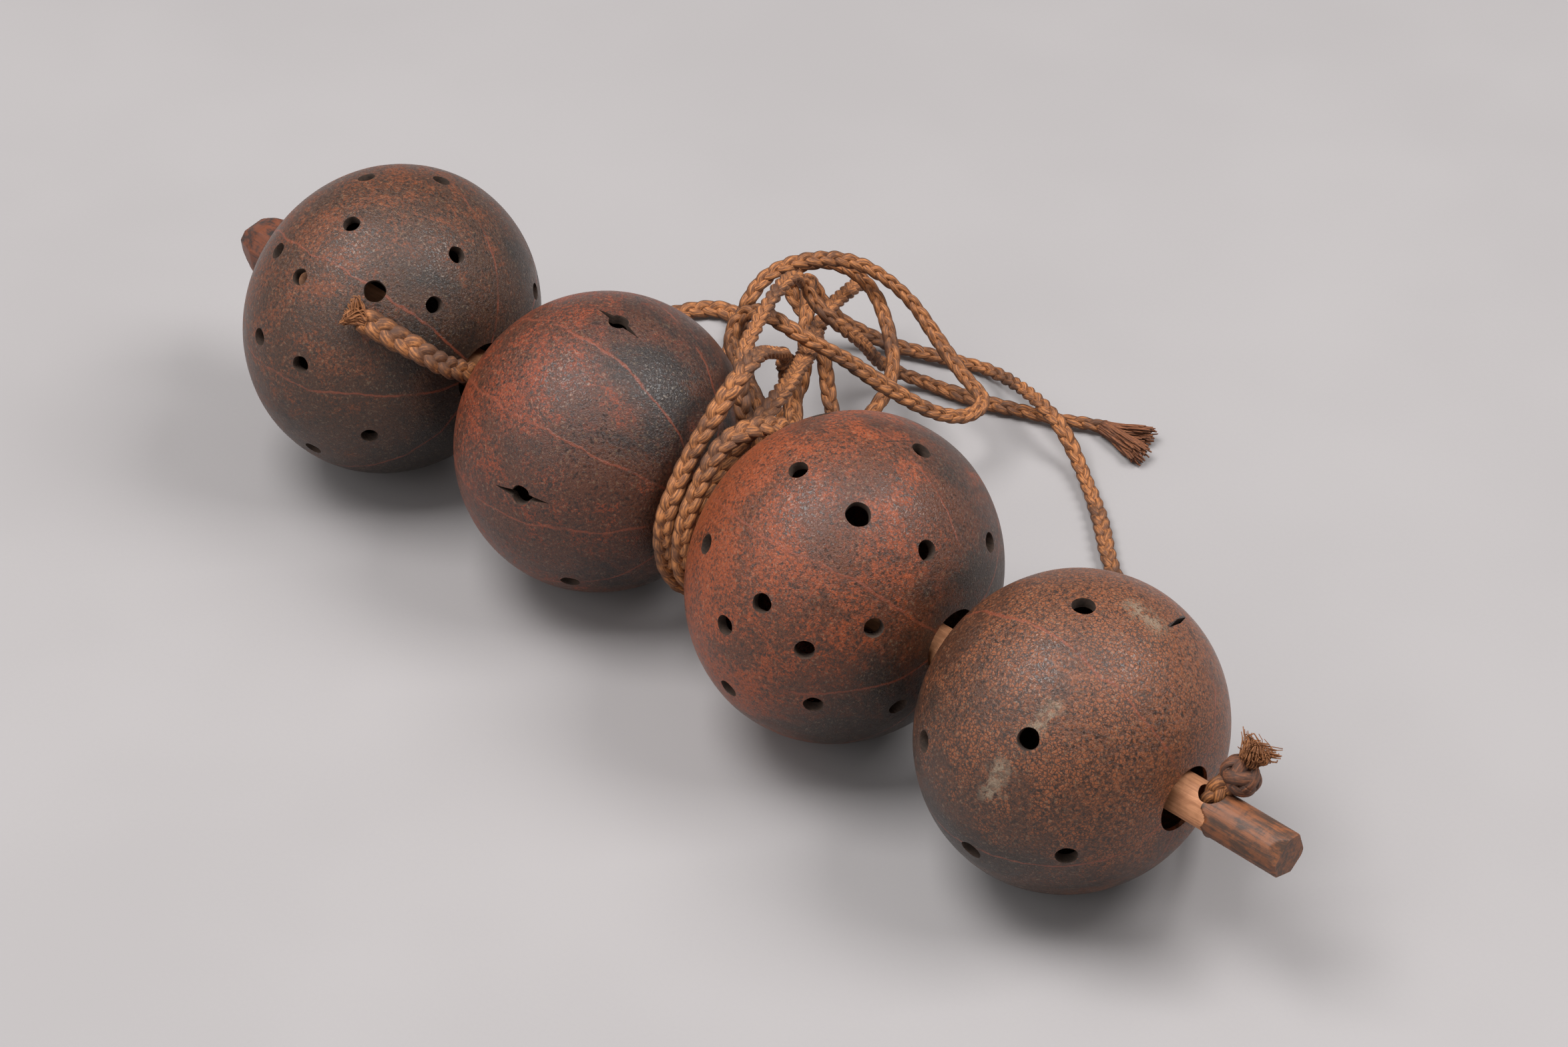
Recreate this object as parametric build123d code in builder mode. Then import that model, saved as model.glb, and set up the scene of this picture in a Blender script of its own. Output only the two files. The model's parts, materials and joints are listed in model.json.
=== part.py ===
"""Stick rattle: hollow fruit shells strung loosely on a whittled stick, with seeds inside and plaited ties.

Frame, in millimetres: +X runs along the stick from its carved knob to its free end, +Z is up, and the
origin is on the table under the middle of the stick.
"""

import math
import os
from dataclasses import dataclass

from build123d import *

os.makedirs("parts", exist_ok=True)

# Stick
STICK_DIAMETER = 8.0
BARK_DIAMETER = 8.5
WORN_BARK_DIAMETER = 8.1  # beside the hole, where the knot rubs, and at the whittled tip
STICK_RISE = -0.6  # stick axis above the mean height of the shells' centres
KNOB_LENGTH = 14.7
KNOB_WIDTH = 13.0  # across corners
KNOB_SIDES = 8
KNOB_BEVEL = 2.4
KNOB_BEVEL_LENGTH = 4.2
KNOB_PLAY = 2.0  # between the knob and the first shell
TAIL_LENGTH = 21.7  # free end beyond the last shell
BARK_LENGTH = 16.3  # worn bark included
GRIP_LENGTH = 8.0  # unworn bark, between the worn stretches
TIP_LENGTH = 2.5  # holds the whittled flats
TIP_CHAMFER = 0.7
# Whittled flats of the tip: angle round the stick in degrees, distance from its axis
TIP_CUTS = ((20, 3.5), (135, 3.2), (250, 3.6))
TIP_CUT_SLOPE = 24  # degrees between a whittled flat and the stick's axis
TIP_CUT_LENGTH = 2.2

# Shells
SHELL_WALL = 2.0
BORE_PLAY = 0.25  # between the stick and the most eccentric bore
BORED_HOLE_DEPTH = 7.0
SPLIT_WIDTH = 1.5
SHELL_GAPS = (4.5, 10.4, 4.1)

# Seeds
SEED_DIAMETER = 5.6
SEED_RING_COUNT = 5  # round one seed in the middle
SEED_PLAY = 0.3  # between seeds, and between a seed and the wall

# Plaited ties
CORD_DIAMETER = 3.2
CORD_SIDES = 8
CROSS_HOLE_PLAY = 0.8  # between the cord and its hole through the stick, all round
CROSS_HOLE_TILT = 49.5  # degrees from the vertical, far hole
NEAR_HOLE_SETBACK = 5.0  # from the last shell's flat
RUN_SHARE = 0.45  # part of the shorter run that an arc may take
GAP_SAMPLE = 1.5  # spacing of the points on which a cord's clearance to itself is measured
SAME_STRETCH = 12.0  # points nearer than this along the cord belong to the same bend

# What ends the ties
KNOT_DIAMETER = 6.4
KNOT_LENGTH = 6.2
KNOT_SEAT = 2.2  # length of cord inside the knot
TUFT_LENGTH = 6.5
TUFT_WIDTH = 6.6
TUFT_WAIST = 4.4  # half way up
TUFT_DIRECTION = (0.2, 0.3, 0.93)
TUFT_ROOT_DEPTH = 2.0  # sunk in the knot before the knot is cut away
STUB_LENGTH = 2.6
STUB_WIDTH = 4.8
TASSEL_LENGTH = 10.5
TASSEL_WIDTH = 9.2
TASSEL_DIRECTION = (0.99, 0.1, 0)
TASSEL_THICKNESS = 3.8
WHIPPING_LENGTH = 4.0
WHIPPING_WIDTH = 3.8


@dataclass
class FruitShell:
    """One hard fruit shell, round about an axis parallel to the stick, resting on the table.

    Holes are (angle from +X, angle round the axis from +Y towards +Z) in degrees; a split adds its length
    and its slant from the shell's meridian.
    """

    girth_radius: float
    half_length: float
    flat_distance: float  # from the centre to the flat cut round the bore at either end
    side_step: float  # of the centre from the stick's plane
    hole_diameter: float
    holes: tuple
    wide_hole_diameter: float
    wide_holes: tuple = ()
    splits: tuple = ()
    x: float = 0.0

    @property
    def centre(self):
        """Centre of the shell, one girth radius above the table."""
        return Vector(self.x, self.side_step, self.girth_radius)

    @property
    def axis(self):
        """Axis that the shell is round about."""
        return Axis(self.centre, (1, 0, 0))

    def tangent_plane(self, polar, around):
        """Plane on the outer surface, z outwards and x along the meridian, at two angles in degrees."""
        along, out = math.cos(math.radians(polar)), math.sin(math.radians(polar))
        side, up = math.cos(math.radians(around)), math.sin(math.radians(around))
        length, girth = self.half_length, self.girth_radius
        point = self.centre + Vector(length * along, girth * out * side, girth * out * up)
        normal = Vector(along / length, out * side / girth, out * up / girth)
        meridian = Vector(-length * out, girth * along * side, girth * along * up)
        return Plane(origin=point, x_dir=meridian, z_dir=normal)


SHELLS = (
    FruitShell(
        girth_radius=31.0, half_length=27.0, flat_distance=25.5, side_step=-1.3,
        hole_diameter=3.3,
        holes=(
            (104, 87), (84, 66), (86, 109), (49, 85), (91, 135), (112, 131), (39, 112), (102, 163),
            (77, 164), (50, -164), (79, -153), (42, 17), (118, 40), (80, 20), (100, -40), (60, -75),
        ),
        wide_hole_diameter=4.2, wide_holes=((60, 125),),
    ),
    FruitShell(
        girth_radius=29.0, half_length=27.4, flat_distance=25.5, side_step=1.0,
        hole_diameter=3.6, holes=((63, -147), (96, -20)),
        wide_hole_diameter=3.8, wide_holes=((84, 85), (77, 166)),
        splits=((84, 85, 11.0, 0), (77, 166, 12.0, 4)),
    ),
    FruitShell(
        girth_radius=31.0, half_length=27.5, flat_distance=25.8, side_step=1.3,
        hole_diameter=3.6,
        holes=(
            (96, 108), (73, 68), (40, 96), (37, 40), (117, 147), (80, 153), (93, 167), (39, 146),
            (60, 164), (92, -165), (56, -169), (29, -144), (119, 73), (72, 10), (104, -35), (62, -70),
        ),
        wide_hole_diameter=4.5, wide_holes=((66, 109),),
    ),
    FruitShell(
        girth_radius=29.0, half_length=26.8, flat_distance=25.2, side_step=-0.6,
        hole_diameter=3.9, holes=((74, 141), (119, 166), (88, -163), (50, -172), (100, -15)),
        wide_hole_diameter=4.1, wide_holes=((89, 89),),
        splits=((67, 57, 4.5, 50),),
    ),
)

# Far tie: frayed stub on the first shell, through the stick, behind the second shell, tassel on the table
FAR_CORD_POINTS = (
    (-73, -22, 50.5), (-70, -20, 48.5), (-66.5, -17.5, 45.5), (-63.5, -15.5, 43.5), (-61, -12, 39.5),
    (-60.5, -2, 31.5), (-61, 8, 22.5), (-62, 17.5, 15.5), (-66, 28, 8.5), (-71.5, 39, 3.5),
    (-77, 50, 2), (-78.5, 61, 2), (-74.5, 69, 2), (-70.5, 73, 2), (-65.5, 73.5, 2),
    (-61.5, 67.5, 2), (-57, 60, 2), (-48, 46, 2), (-37, 36.5, 2), (-25.5, 29, 2.5),
    (-16.5, 22.5, 5), (-9.5, 18.5, 11.5), (-7, 16, 20.5), (-6, 15, 30), (-6.5, 13, 39.5),
    (-9, 13.5, 47), (-15, 21, 49), (-20.5, 31, 47.5), (-24.5, 39, 46.5), (-27.5, 45.5, 45),
    (-30.5, 51.5, 42), (-33, 57, 37), (-32, 58, 33), (-26.5, 56.5, 32), (-24.5, 60, 27.5),
    (-25.5, 67, 19.5), (-27.5, 73, 11), (-27, 78, 5.5), (-25, 82, 2.5), (-20.5, 84, 1.5),
    (-13.5, 85, 2), (-7.5, 87, 2), (-1.5, 89.5, 2), (4, 91.5, 2), (9, 94.5, 2),
    (13.5, 96.5, 2),
)

# Near tie: stopper knot, down through the stick, behind the last shells, loose loops, three turns round the
# stick between the second and third shells, and a free end
NEAR_CORD_POINTS = (
    (116, 3.5, 35.6), (114, -0.2, 34.3), (114, 0.3, 24.8), (113, 4.5, 20.5), (108, 12.5, 14),
    (99.5, 21.5, 7.5), (87, 32.5, 2.5), (71, 45, 2), (55, 54.5, 2), (39.5, 65.5, 2),
    (32, 73, 2), (24, 79, 2), (16, 84.5, 3), (10, 86, 7.5), (0, 90, 6.5),
    (-11.5, 95, 2.5), (-19, 95, 1.5), (-24.5, 92, 2), (-31, 89.5, 2), (-37, 87, 2.5),
    (-41, 84.5, 4.5), (-44.5, 82, 7), (-47.5, 80, 10.5), (-50, 79.5, 14), (-49.5, 77, 18),
    (-46, 73, 21.5), (-40.5, 67, 24), (-36.5, 62, 23.5), (-34, 59, 20.5), (-33, 58, 16),
    (-32, 56, 11.5), (-32.5, 52.5, 7), (-32.5, 45, 3), (-27.5, 37, 2), (-18, 36, 2),
    (-13.5, 44.5, 2), (-18, 54, 4), (-27, 58.5, 8.5), (-30, 61, 12.5), (-33.5, 63.5, 15.5),
    (-39.5, 67, 16.5), (-45.5, 69.5, 17.5), (-49.5, 70.5, 20.5), (-48.5, 72, 25), (-43, 74, 27.5),
    (-39, 76, 27), (-35, 77.5, 25), (-31.5, 77.5, 22.5), (-28, 76, 20), (-24, 73.5, 17.5),
    (-20, 70, 15.5), (-17.5, 65.5, 13), (-16.5, 60, 11), (-16, 53.5, 9.5), (-17.5, 46.5, 8.5),
    (-22.5, 43, 8.5), (-29, 43, 9.5), (-35.5, 45, 12), (-40.5, 48.5, 15), (-43.5, 50, 19.5),
    (-43.5, 50.5, 25), (-43, 52, 29.5), (-43.5, 56.5, 32), (-42, 61.5, 33.5), (-39.5, 67, 33.5),
    (-36.5, 72.5, 32), (-33, 76.5, 29.5), (-29, 79, 26.5), (-25, 80.5, 23), (-21, 80.5, 20),
    (-16.5, 80, 17), (-11.5, 79, 14.5), (-7, 78.5, 12.5), (-2.5, 77.5, 12), (0, 73, 12.5),
    (0.5, 66, 15), (-2, 60.5, 18.5), (-5.5, 56, 23), (-8.5, 51.5, 28), (-12, 47.5, 33),
    (-14.5, 42.5, 38), (-18.5, 39.5, 41), (-23, 38.5, 42.5), (-28.5, 39.5, 41.5), (-32.5, 38.5, 38.5),
    (-31.5, 34.5, 35.5), (-25.5, 31, 33.5), (-17, 27, 33), (-9.5, 22.5, 31), (-3, 19, 26),
    (-2.5, 13.5, 18), (-4, 4, 11.5), (-4, -5.5, 13), (-4.5, -10.5, 20), (-4.5, -12, 28),
    (-4.5, -11, 34.5), (-4.5, -8.5, 38.5), (-5, -5, 42.5), (-4.5, -0.5, 48), (-4, 3.5, 52),
    (-4, 8, 55.5), (-5.5, 13.5, 56), (-8, 18.5, 53.5), (-11, 24, 49), (-14.5, 30, 43.5),
    (-19, 36, 38), (-22, 40.5, 31), (-21, 41, 25.5), (-16.5, 36.5, 22.5), (-10, 30, 21.5),
    (-3, 22.5, 19), (0.5, 14.5, 15), (1, 5.5, 12.5), (0.5, -3.5, 14), (-0.5, -10.5, 20.5),
    (-0.5, -11.5, 28), (-0.5, -10, 34.5), (-0.5, -7, 39.5), (-0.5, -4, 43.5), (-0.5, -0.5, 46.5),
    (0.5, 4.5, 48), (2, 11, 46.5), (2.5, 17, 40.5), (2.5, 19.5, 32), (2.5, 17, 24.5),
    (2, 10.5, 19), (1, 2, 17.5), (0, -5.5, 20), (-1, -7.5, 27), (-1.5, -6, 33.5),
    (-2.5, -1.5, 37), (-2.5, 3.5, 40), (-2.5, 8, 42.5), (-2.5, 12.5, 44.5), (-4, 19, 45),
    (-9.5, 29, 41.5), (-18.5, 42.5, 34), (-28, 55.5, 27.5), (-35, 67, 23.5), (-38.5, 75.5, 20.5),
    (-41.5, 83, 17.5),
)

# Places along the stick, worked out from the knob end with the stick's middle at X = 0
shell_lengths = [2 * shell.flat_distance for shell in SHELLS]
stick_length = KNOB_LENGTH + KNOB_PLAY + sum(shell_lengths) + sum(SHELL_GAPS) + TAIL_LENGTH
knob_end = -stick_length / 2
free_end = stick_length / 2
next_flat = knob_end + KNOB_LENGTH + KNOB_PLAY
for shell, gap_after in zip(SHELLS, SHELL_GAPS + (0.0,)):
    shell.x = next_flat + shell.flat_distance
    next_flat = shell.x + shell.flat_distance + gap_after

# Heights and fits
stick_height = sum(shell.girth_radius for shell in SHELLS) / len(SHELLS) + STICK_RISE
stick_centre = Vector(0, 0, stick_height)
eccentricity = max((stick_centre - shell.centre).cross(Vector(1, 0, 0)).length for shell in SHELLS)
bore_radius = STICK_DIAMETER / 2 + eccentricity + BORE_PLAY
cross_hole_radius = CORD_DIAMETER / 2 + CROSS_HOLE_PLAY
far_hole_x = SHELLS[0].x + SHELLS[0].flat_distance + SHELL_GAPS[0] / 2
near_hole_x = SHELLS[-1].x + SHELLS[-1].flat_distance + NEAR_HOLE_SETBACK


def stick_plane(x):
    """Plane square to the stick's axis at x, its z along the stick and its x upwards."""
    return Plane(origin=(x, 0, stick_height), x_dir=(0, 0, 1), z_dir=(1, 0, 0))


def whittled_stick():
    """Stick with a faceted knob, a bark-covered free end cut to a blunt tip, and a hole for each tie."""
    with BuildPart() as stick:
        with BuildSketch(stick_plane(knob_end)):
            RegularPolygon(KNOB_WIDTH / 2, KNOB_SIDES)
        extrude(amount=KNOB_LENGTH)
        knob_rims = stick.faces().sort_by(Axis.X)
        for rim in (knob_rims[0], knob_rims[-1]):
            chamfer(rim.edges(), length=KNOB_BEVEL_LENGTH, length2=KNOB_BEVEL, reference=rim)
        start = knob_end + KNOB_LENGTH
        for diameter, length in (
            (STICK_DIAMETER, stick_length - KNOB_LENGTH - BARK_LENGTH),
            (WORN_BARK_DIAMETER, BARK_LENGTH - GRIP_LENGTH - TIP_LENGTH),
            (BARK_DIAMETER, GRIP_LENGTH),
            (WORN_BARK_DIAMETER, TIP_LENGTH),
        ):
            with BuildSketch(stick_plane(start)):
                Circle(diameter / 2)
            extrude(amount=length)
            start += length
        chamfer(stick.faces().sort_by(Axis.X)[-1].edges(), TIP_CHAMFER)
        for angle, distance in TIP_CUTS:
            with Locations(Location(stick_plane(free_end)) * Location((0, 0, 0), (0, 0, angle))):
                with Locations(Location((distance, 0, 0), (0, -TIP_CUT_SLOPE, 0))):
                    Box(BARK_DIAMETER, BARK_DIAMETER * 2, TIP_CUT_LENGTH * 2, mode=Mode.SUBTRACT,
                        align=(Align.MIN, Align.CENTER, Align.CENTER))
        with Locations(Location((near_hole_x, 0, stick_height)),
                       Location((far_hole_x, 0, stick_height), (CROSS_HOLE_TILT, 0, 0))):
            Cylinder(cross_hole_radius, BARK_DIAMETER * 2, mode=Mode.SUBTRACT)
    return stick


def fruit_shell(shell):
    """Hollow shell, trimmed flat round a bore at both ends, with its bored holes and splits."""
    end_angle = math.degrees(math.acos(shell.flat_distance / shell.half_length))
    with BuildPart() as fruit:
        with BuildSketch(Plane(origin=shell.centre, x_dir=(1, 0, 0), z_dir=(0, -1, 0))):
            with BuildLine():
                outside = EllipticalCenterArc(
                    (0, 0), shell.half_length, shell.girth_radius, end_angle, arc_size=180 - 2 * end_angle,
                )
                Polyline(
                    outside @ 1, (-shell.flat_distance, bore_radius),
                    (shell.flat_distance, bore_radius), outside @ 0,
                )
            make_face()
            Ellipse(shell.half_length - SHELL_WALL, shell.girth_radius - SHELL_WALL, mode=Mode.SUBTRACT)
        revolve(axis=shell.axis)
        for diameter, places in (
            (shell.hole_diameter, shell.holes), (shell.wide_hole_diameter, shell.wide_holes),
        ):
            for polar, around in places:
                with Locations(Location(shell.tangent_plane(polar, around))):
                    Cylinder(diameter / 2, BORED_HOLE_DEPTH, mode=Mode.SUBTRACT)
        for polar, around, length, slant in shell.splits:
            surface = shell.tangent_plane(polar, around)
            with BuildSketch(surface.offset(-BORED_HOLE_DEPTH / 2)):
                with Locations(Location((0, 0), slant)):
                    Polygon((-length / 2, 0), (0, -SPLIT_WIDTH / 2), (length / 2, 0), (0, SPLIT_WIDTH / 2))
            extrude(amount=BORED_HOLE_DEPTH, mode=Mode.SUBTRACT)
    return fruit


def seed_places(shell):
    """Centres of the seeds that lie in the bottom of a shell: a ring round one in the middle."""
    inset = SHELL_WALL + SEED_PLAY + SEED_DIAMETER / 2
    length, girth = shell.half_length - inset, shell.girth_radius - inset
    ring_radius = SEED_DIAMETER + SEED_PLAY
    places = [Vector(0, 0, -girth)]
    for index in range(SEED_RING_COUNT):
        turn = 2 * math.pi * index / SEED_RING_COUNT
        x, y = ring_radius * math.cos(turn), ring_radius * math.sin(turn)
        places.append(Vector(x, y, -girth * math.sqrt(1 - (x / length) ** 2 - (y / girth) ** 2)))
    return [shell.centre + place for place in places]


def bend_radii(points):
    """Radius of the arc at each inner point of a route, as large as its two runs allow."""
    radii = []
    for before, here, after in zip(points, points[1:], points[2:]):
        arriving = Vector(*here) - Vector(*before)
        leaving = Vector(*after) - Vector(*here)
        half_turn = math.radians(arriving.get_angle(leaving)) / 2
        radii.append(RUN_SHARE * min(arriving.length, leaving.length) / math.tan(half_turn))
    return radii


def plaited_cord(points):
    """Cord along a route of straight runs and tangent arcs."""
    radii = bend_radii(points)
    with BuildPart() as cord:
        with BuildLine() as route:
            path = FilletPolyline(*points, radius=radii)
        with BuildSketch(Plane(origin=path @ 0, z_dir=path % 0)) as section:
            RegularPolygon(CORD_DIAMETER / 2, CORD_SIDES)
        sweep()
    print("cord: radii", " ".join(f"{radius:.1f}" for radius in sorted(radii)[:12]), "and larger")
    print(f"cord: length {path.length:.1f}, volume over section times length "
          f"{cord.part.volume / (section.sketch.area * path.length):.4f}")
    count = int(path.length / GAP_SAMPLE)
    samples = [tuple(path @ (index / count)) for index in range(count + 1)]
    skip = int(SAME_STRETCH / GAP_SAMPLE)
    least = min(
        math.dist(samples[first], samples[second])
        for first in range(len(samples)) for second in range(first + skip, len(samples))
    )
    print(f"cord: least gap to itself {least - CORD_DIAMETER:.2f}")
    return cord


def end_plane(points):
    """Plane on the first point of a route, its z leaving the cord."""
    return Plane(origin=points[0], z_dir=Vector(*points[0]) - Vector(*points[1]))


def turned_end(plane, outline):
    """Round piece on a cord's end: outline gives (distance along the axis, radius) from the cord's face."""
    with BuildPart() as end:
        with BuildSketch(Plane(origin=plane.origin, x_dir=plane.z_dir, z_dir=plane.x_dir)):
            with BuildLine():
                crown = Spline(*outline)
                Polyline(crown @ 1, (outline[-1][0], 0), (outline[0][0], 0), crown @ 0)
            make_face()
        revolve(axis=Axis(plane.origin, plane.z_dir))
    return end


def save(piece, name):
    """Write one finished piece under its name."""
    piece.part.label = name
    export_step(piece.part, f"parts/{name}.step")


save(whittled_stick(), "stick")

for number, shell in enumerate(SHELLS, start=1):
    save(fruit_shell(shell), f"shell_{number}")
    for seed_number, place in enumerate(seed_places(shell), start=1):
        with BuildPart() as seed:
            with Locations(place):
                Sphere(SEED_DIAMETER / 2)
        save(seed, f"seed_{number}_{seed_number}")

save(plaited_cord(FAR_CORD_POINTS), "far_cord")
save(plaited_cord(NEAR_CORD_POINTS), "near_cord")

cord_radius = CORD_DIAMETER / 2

# Frayed stub of the far tie, and the whipped free end of the near tie
stub_plane = end_plane(FAR_CORD_POINTS)
stub_outline = ((0, cord_radius), (STUB_LENGTH / 2, cord_radius), (STUB_LENGTH, STUB_WIDTH / 2))
save(turned_end(stub_plane, stub_outline), "stub_fray")
free_plane = end_plane(NEAR_CORD_POINTS[::-1])
whipping_outline = (
    (0, cord_radius), (WHIPPING_LENGTH / 2, WHIPPING_WIDTH / 2), (WHIPPING_LENGTH, cord_radius),
)
save(turned_end(free_plane, whipping_outline), "free_end")

# Tassel that lies fanned out on the table
tassel_root = end_plane(FAR_CORD_POINTS[::-1])
tassel_axis = Vector(*TASSEL_DIRECTION).normalized()
with BuildPart() as tassel:
    for origin, axis, width, thickness in (
        (tassel_root.origin, tassel_root.z_dir, CORD_DIAMETER, CORD_DIAMETER),
        (tassel_root.origin + tassel_axis * TASSEL_LENGTH, tassel_axis, TASSEL_WIDTH, TASSEL_THICKNESS),
    ):
        with BuildSketch(Plane(origin=origin, x_dir=axis.cross(Vector(0, 0, 1)), z_dir=axis)):
            Ellipse(width / 2, thickness / 2)
    loft()
save(tassel, "tassel")

# Stopper knot, tied round the end of the cord, and the frayed tuft that stands on it
cord_end = end_plane(NEAR_CORD_POINTS)
knot_plane = cord_end.offset(-KNOT_SEAT)
knot_outline = ((0, cord_radius), (KNOT_LENGTH / 2, KNOT_DIAMETER / 2), (KNOT_LENGTH, cord_radius))
knot = turned_end(knot_plane, knot_outline)
with knot:
    with Locations(Location(knot_plane)):
        Cylinder(
            cord_radius, KNOT_SEAT, align=(Align.CENTER, Align.CENTER, Align.MIN), mode=Mode.SUBTRACT,
        )
save(knot, "stopper_knot")
knot_centre = knot_plane.origin + knot_plane.z_dir * (KNOT_LENGTH / 2)
tuft_axis = Vector(*TUFT_DIRECTION).normalized()
tuft_plane = Plane(origin=knot_centre + tuft_axis * (KNOT_DIAMETER / 2 - TUFT_ROOT_DEPTH), z_dir=tuft_axis)
tuft_outline = (
    (0, cord_radius), (TUFT_LENGTH / 2, TUFT_WAIST / 2), (TUFT_LENGTH + TUFT_ROOT_DEPTH, TUFT_WIDTH / 2),
)
tuft = turned_end(tuft_plane, tuft_outline)
with tuft:
    add(knot.part, mode=Mode.SUBTRACT)
save(tuft, "tuft")
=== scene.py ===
"""Stick rattle: fruit shells on a whittled stick with plaited ties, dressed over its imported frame.

Everything is in metres in the frame's own axes: +X along the stick from its knob to its free end, +Z up,
origin on the table under the middle of the stick. Sizes below are written in millimetres.
"""

from __future__ import annotations

import json
import logging
import math
from dataclasses import dataclass, field
from enum import Enum
from typing import Any, Sequence

import bpy
import numpy as np
from mathutils import Matrix, Vector

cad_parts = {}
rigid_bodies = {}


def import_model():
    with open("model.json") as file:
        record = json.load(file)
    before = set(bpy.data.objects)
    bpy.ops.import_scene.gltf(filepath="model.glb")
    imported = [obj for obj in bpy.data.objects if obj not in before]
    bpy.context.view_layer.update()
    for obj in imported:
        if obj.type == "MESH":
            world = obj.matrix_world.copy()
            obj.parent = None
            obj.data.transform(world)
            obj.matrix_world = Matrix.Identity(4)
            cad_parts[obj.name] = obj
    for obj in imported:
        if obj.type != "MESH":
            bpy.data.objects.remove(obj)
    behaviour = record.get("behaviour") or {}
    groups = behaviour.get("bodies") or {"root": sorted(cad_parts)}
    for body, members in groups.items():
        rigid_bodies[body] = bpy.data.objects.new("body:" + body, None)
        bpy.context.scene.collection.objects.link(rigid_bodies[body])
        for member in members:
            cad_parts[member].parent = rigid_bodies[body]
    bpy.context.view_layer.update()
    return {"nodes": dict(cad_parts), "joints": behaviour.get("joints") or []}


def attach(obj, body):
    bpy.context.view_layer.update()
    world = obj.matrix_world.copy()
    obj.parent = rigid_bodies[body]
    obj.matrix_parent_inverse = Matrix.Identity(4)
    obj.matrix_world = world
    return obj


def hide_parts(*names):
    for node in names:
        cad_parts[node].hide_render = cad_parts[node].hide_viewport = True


LOG = logging.getLogger("stick_rattle")
MM = 0.001
TURN = 2 * math.pi
Colour = tuple[float, float, float]


def tint(red: int, green: int, blue: int) -> Colour:
    """Linear colour of a display colour given in steps of 255.

    Args:
        red: red step.
        green: green step.
        blue: blue step.

    Returns:
        The colour in linear light.
    """
    steps = np.array((red, green, blue)) / 255
    linear = np.where(steps <= 0.04045, steps / 12.92, ((steps + 0.055) / 1.055) ** 2.4)
    return tuple(float(value) for value in linear)


class Wire:
    """A shader socket that can be used in Python arithmetic."""

    def __init__(self, paint: Paint, socket: bpy.types.NodeSocket) -> None:
        """Wrap one output socket of a paint's node tree."""
        self.paint = paint
        self.socket = socket

    def __add__(self, other: Operand) -> Wire:
        """Sum of two values."""
        return self.paint.maths("ADD", self, other)

    def __sub__(self, other: Operand) -> Wire:
        """Difference of two values."""
        return self.paint.maths("SUBTRACT", self, other)

    def __mul__(self, other: Operand) -> Wire:
        """Product of two values."""
        return self.paint.maths("MULTIPLY", self, other)

    def __abs__(self) -> Wire:
        """Size of a value without its sign."""
        return self.paint.maths("ABSOLUTE", self)


Operand = Wire | float


@dataclass(frozen=True)
class Grain:
    """One noise, with features of about 1 / scale metres."""

    scale: float
    detail: float = 4
    roughness: float = 0.55
    swirl: float = 0.0


class Paint:
    """A material in the making: its node tree and the one way to add nodes to it."""

    def __init__(self, name: str) -> None:
        """Start an empty material with a principled shader."""
        self.material = bpy.data.materials.new(name)
        self.material.use_nodes = True
        self.tree = self.material.node_tree
        self.shader = self.tree.nodes["Principled BSDF"]

    def node(
        self, kind: str, inputs: dict[str | int, Any], output: str | int = 0, **settings: Any,
    ) -> Wire:
        """Add one node.

        Args:
            kind: node type without its ShaderNode prefix.
            inputs: values, colours or wires by socket name or index.
            output: the socket that is returned.
            settings: the node's own properties, set before its sockets.

        Returns:
            The chosen output as a wire.
        """
        made = self.tree.nodes.new("ShaderNode" + kind)
        for name, value in settings.items():
            setattr(made, name, value)
        for key, value in inputs.items():
            self.feed(made.inputs[key], value)
        return Wire(self, made.outputs[output])

    def feed(self, socket: bpy.types.NodeSocket, value: Any) -> None:
        """Link a wire to a socket, or set the socket's own value."""
        if isinstance(value, Wire):
            self.tree.links.new(value.socket, socket)
        elif isinstance(value, tuple) and socket.type == "RGBA":
            socket.default_value = (*value[:3], 1.0)
        else:
            socket.default_value = value

    def maths(self, operation: str, *values: Operand) -> Wire:
        """Math node on one or more values."""
        return self.node("Math", dict(enumerate(values)), operation=operation)

    def place(self) -> Wire:
        """Object coordinates."""
        return self.node("TexCoord", {}, "Object")

    def noise(self, where: Wire, grain: Grain) -> Wire:
        """Noise about one half."""
        inputs = {
            "Vector": where, "Scale": grain.scale, "Detail": grain.detail, "Roughness": grain.roughness,
            "Distortion": grain.swirl,
        }
        return self.node("TexNoise", inputs, "Fac")

    def step(self, value: Wire, low: float, high: float, start: float = 0, end: float = 1) -> Wire:
        """Smooth step from start at low to end at high."""
        inputs = {0: value, 1: low, 2: high, 3: start, 4: end}
        return self.node("MapRange", inputs, interpolation_type="SMOOTHSTEP")

    def mix(self, share: Operand, first: Wire | Colour, second: Wire | Colour) -> Wire:
        """Colour mixed from first to second by share."""
        return self.node("Mix", {0: share, 6: first, 7: second}, 2, data_type="RGBA")

    def bump(self, height: Wire, distance: float, strength: float) -> Wire:
        """Normal bent by a height of up to distance metres."""
        return self.node("Bump", {"Height": height, "Distance": distance, "Strength": strength}, "Normal")

    def finish(self, colour: Wire, roughness: Operand, normal: Wire | None = None) -> bpy.types.Material:
        """Feed the principled shader.

        Args:
            colour: base colour.
            roughness: roughness.
            normal: bent normal, if any.

        Returns:
            The finished material.
        """
        self.feed(self.shader.inputs["Base Color"], colour)
        self.feed(self.shader.inputs["Roughness"], roughness)
        if normal is not None:
            self.feed(self.shader.inputs["Normal"], normal)
        return self.material


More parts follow.
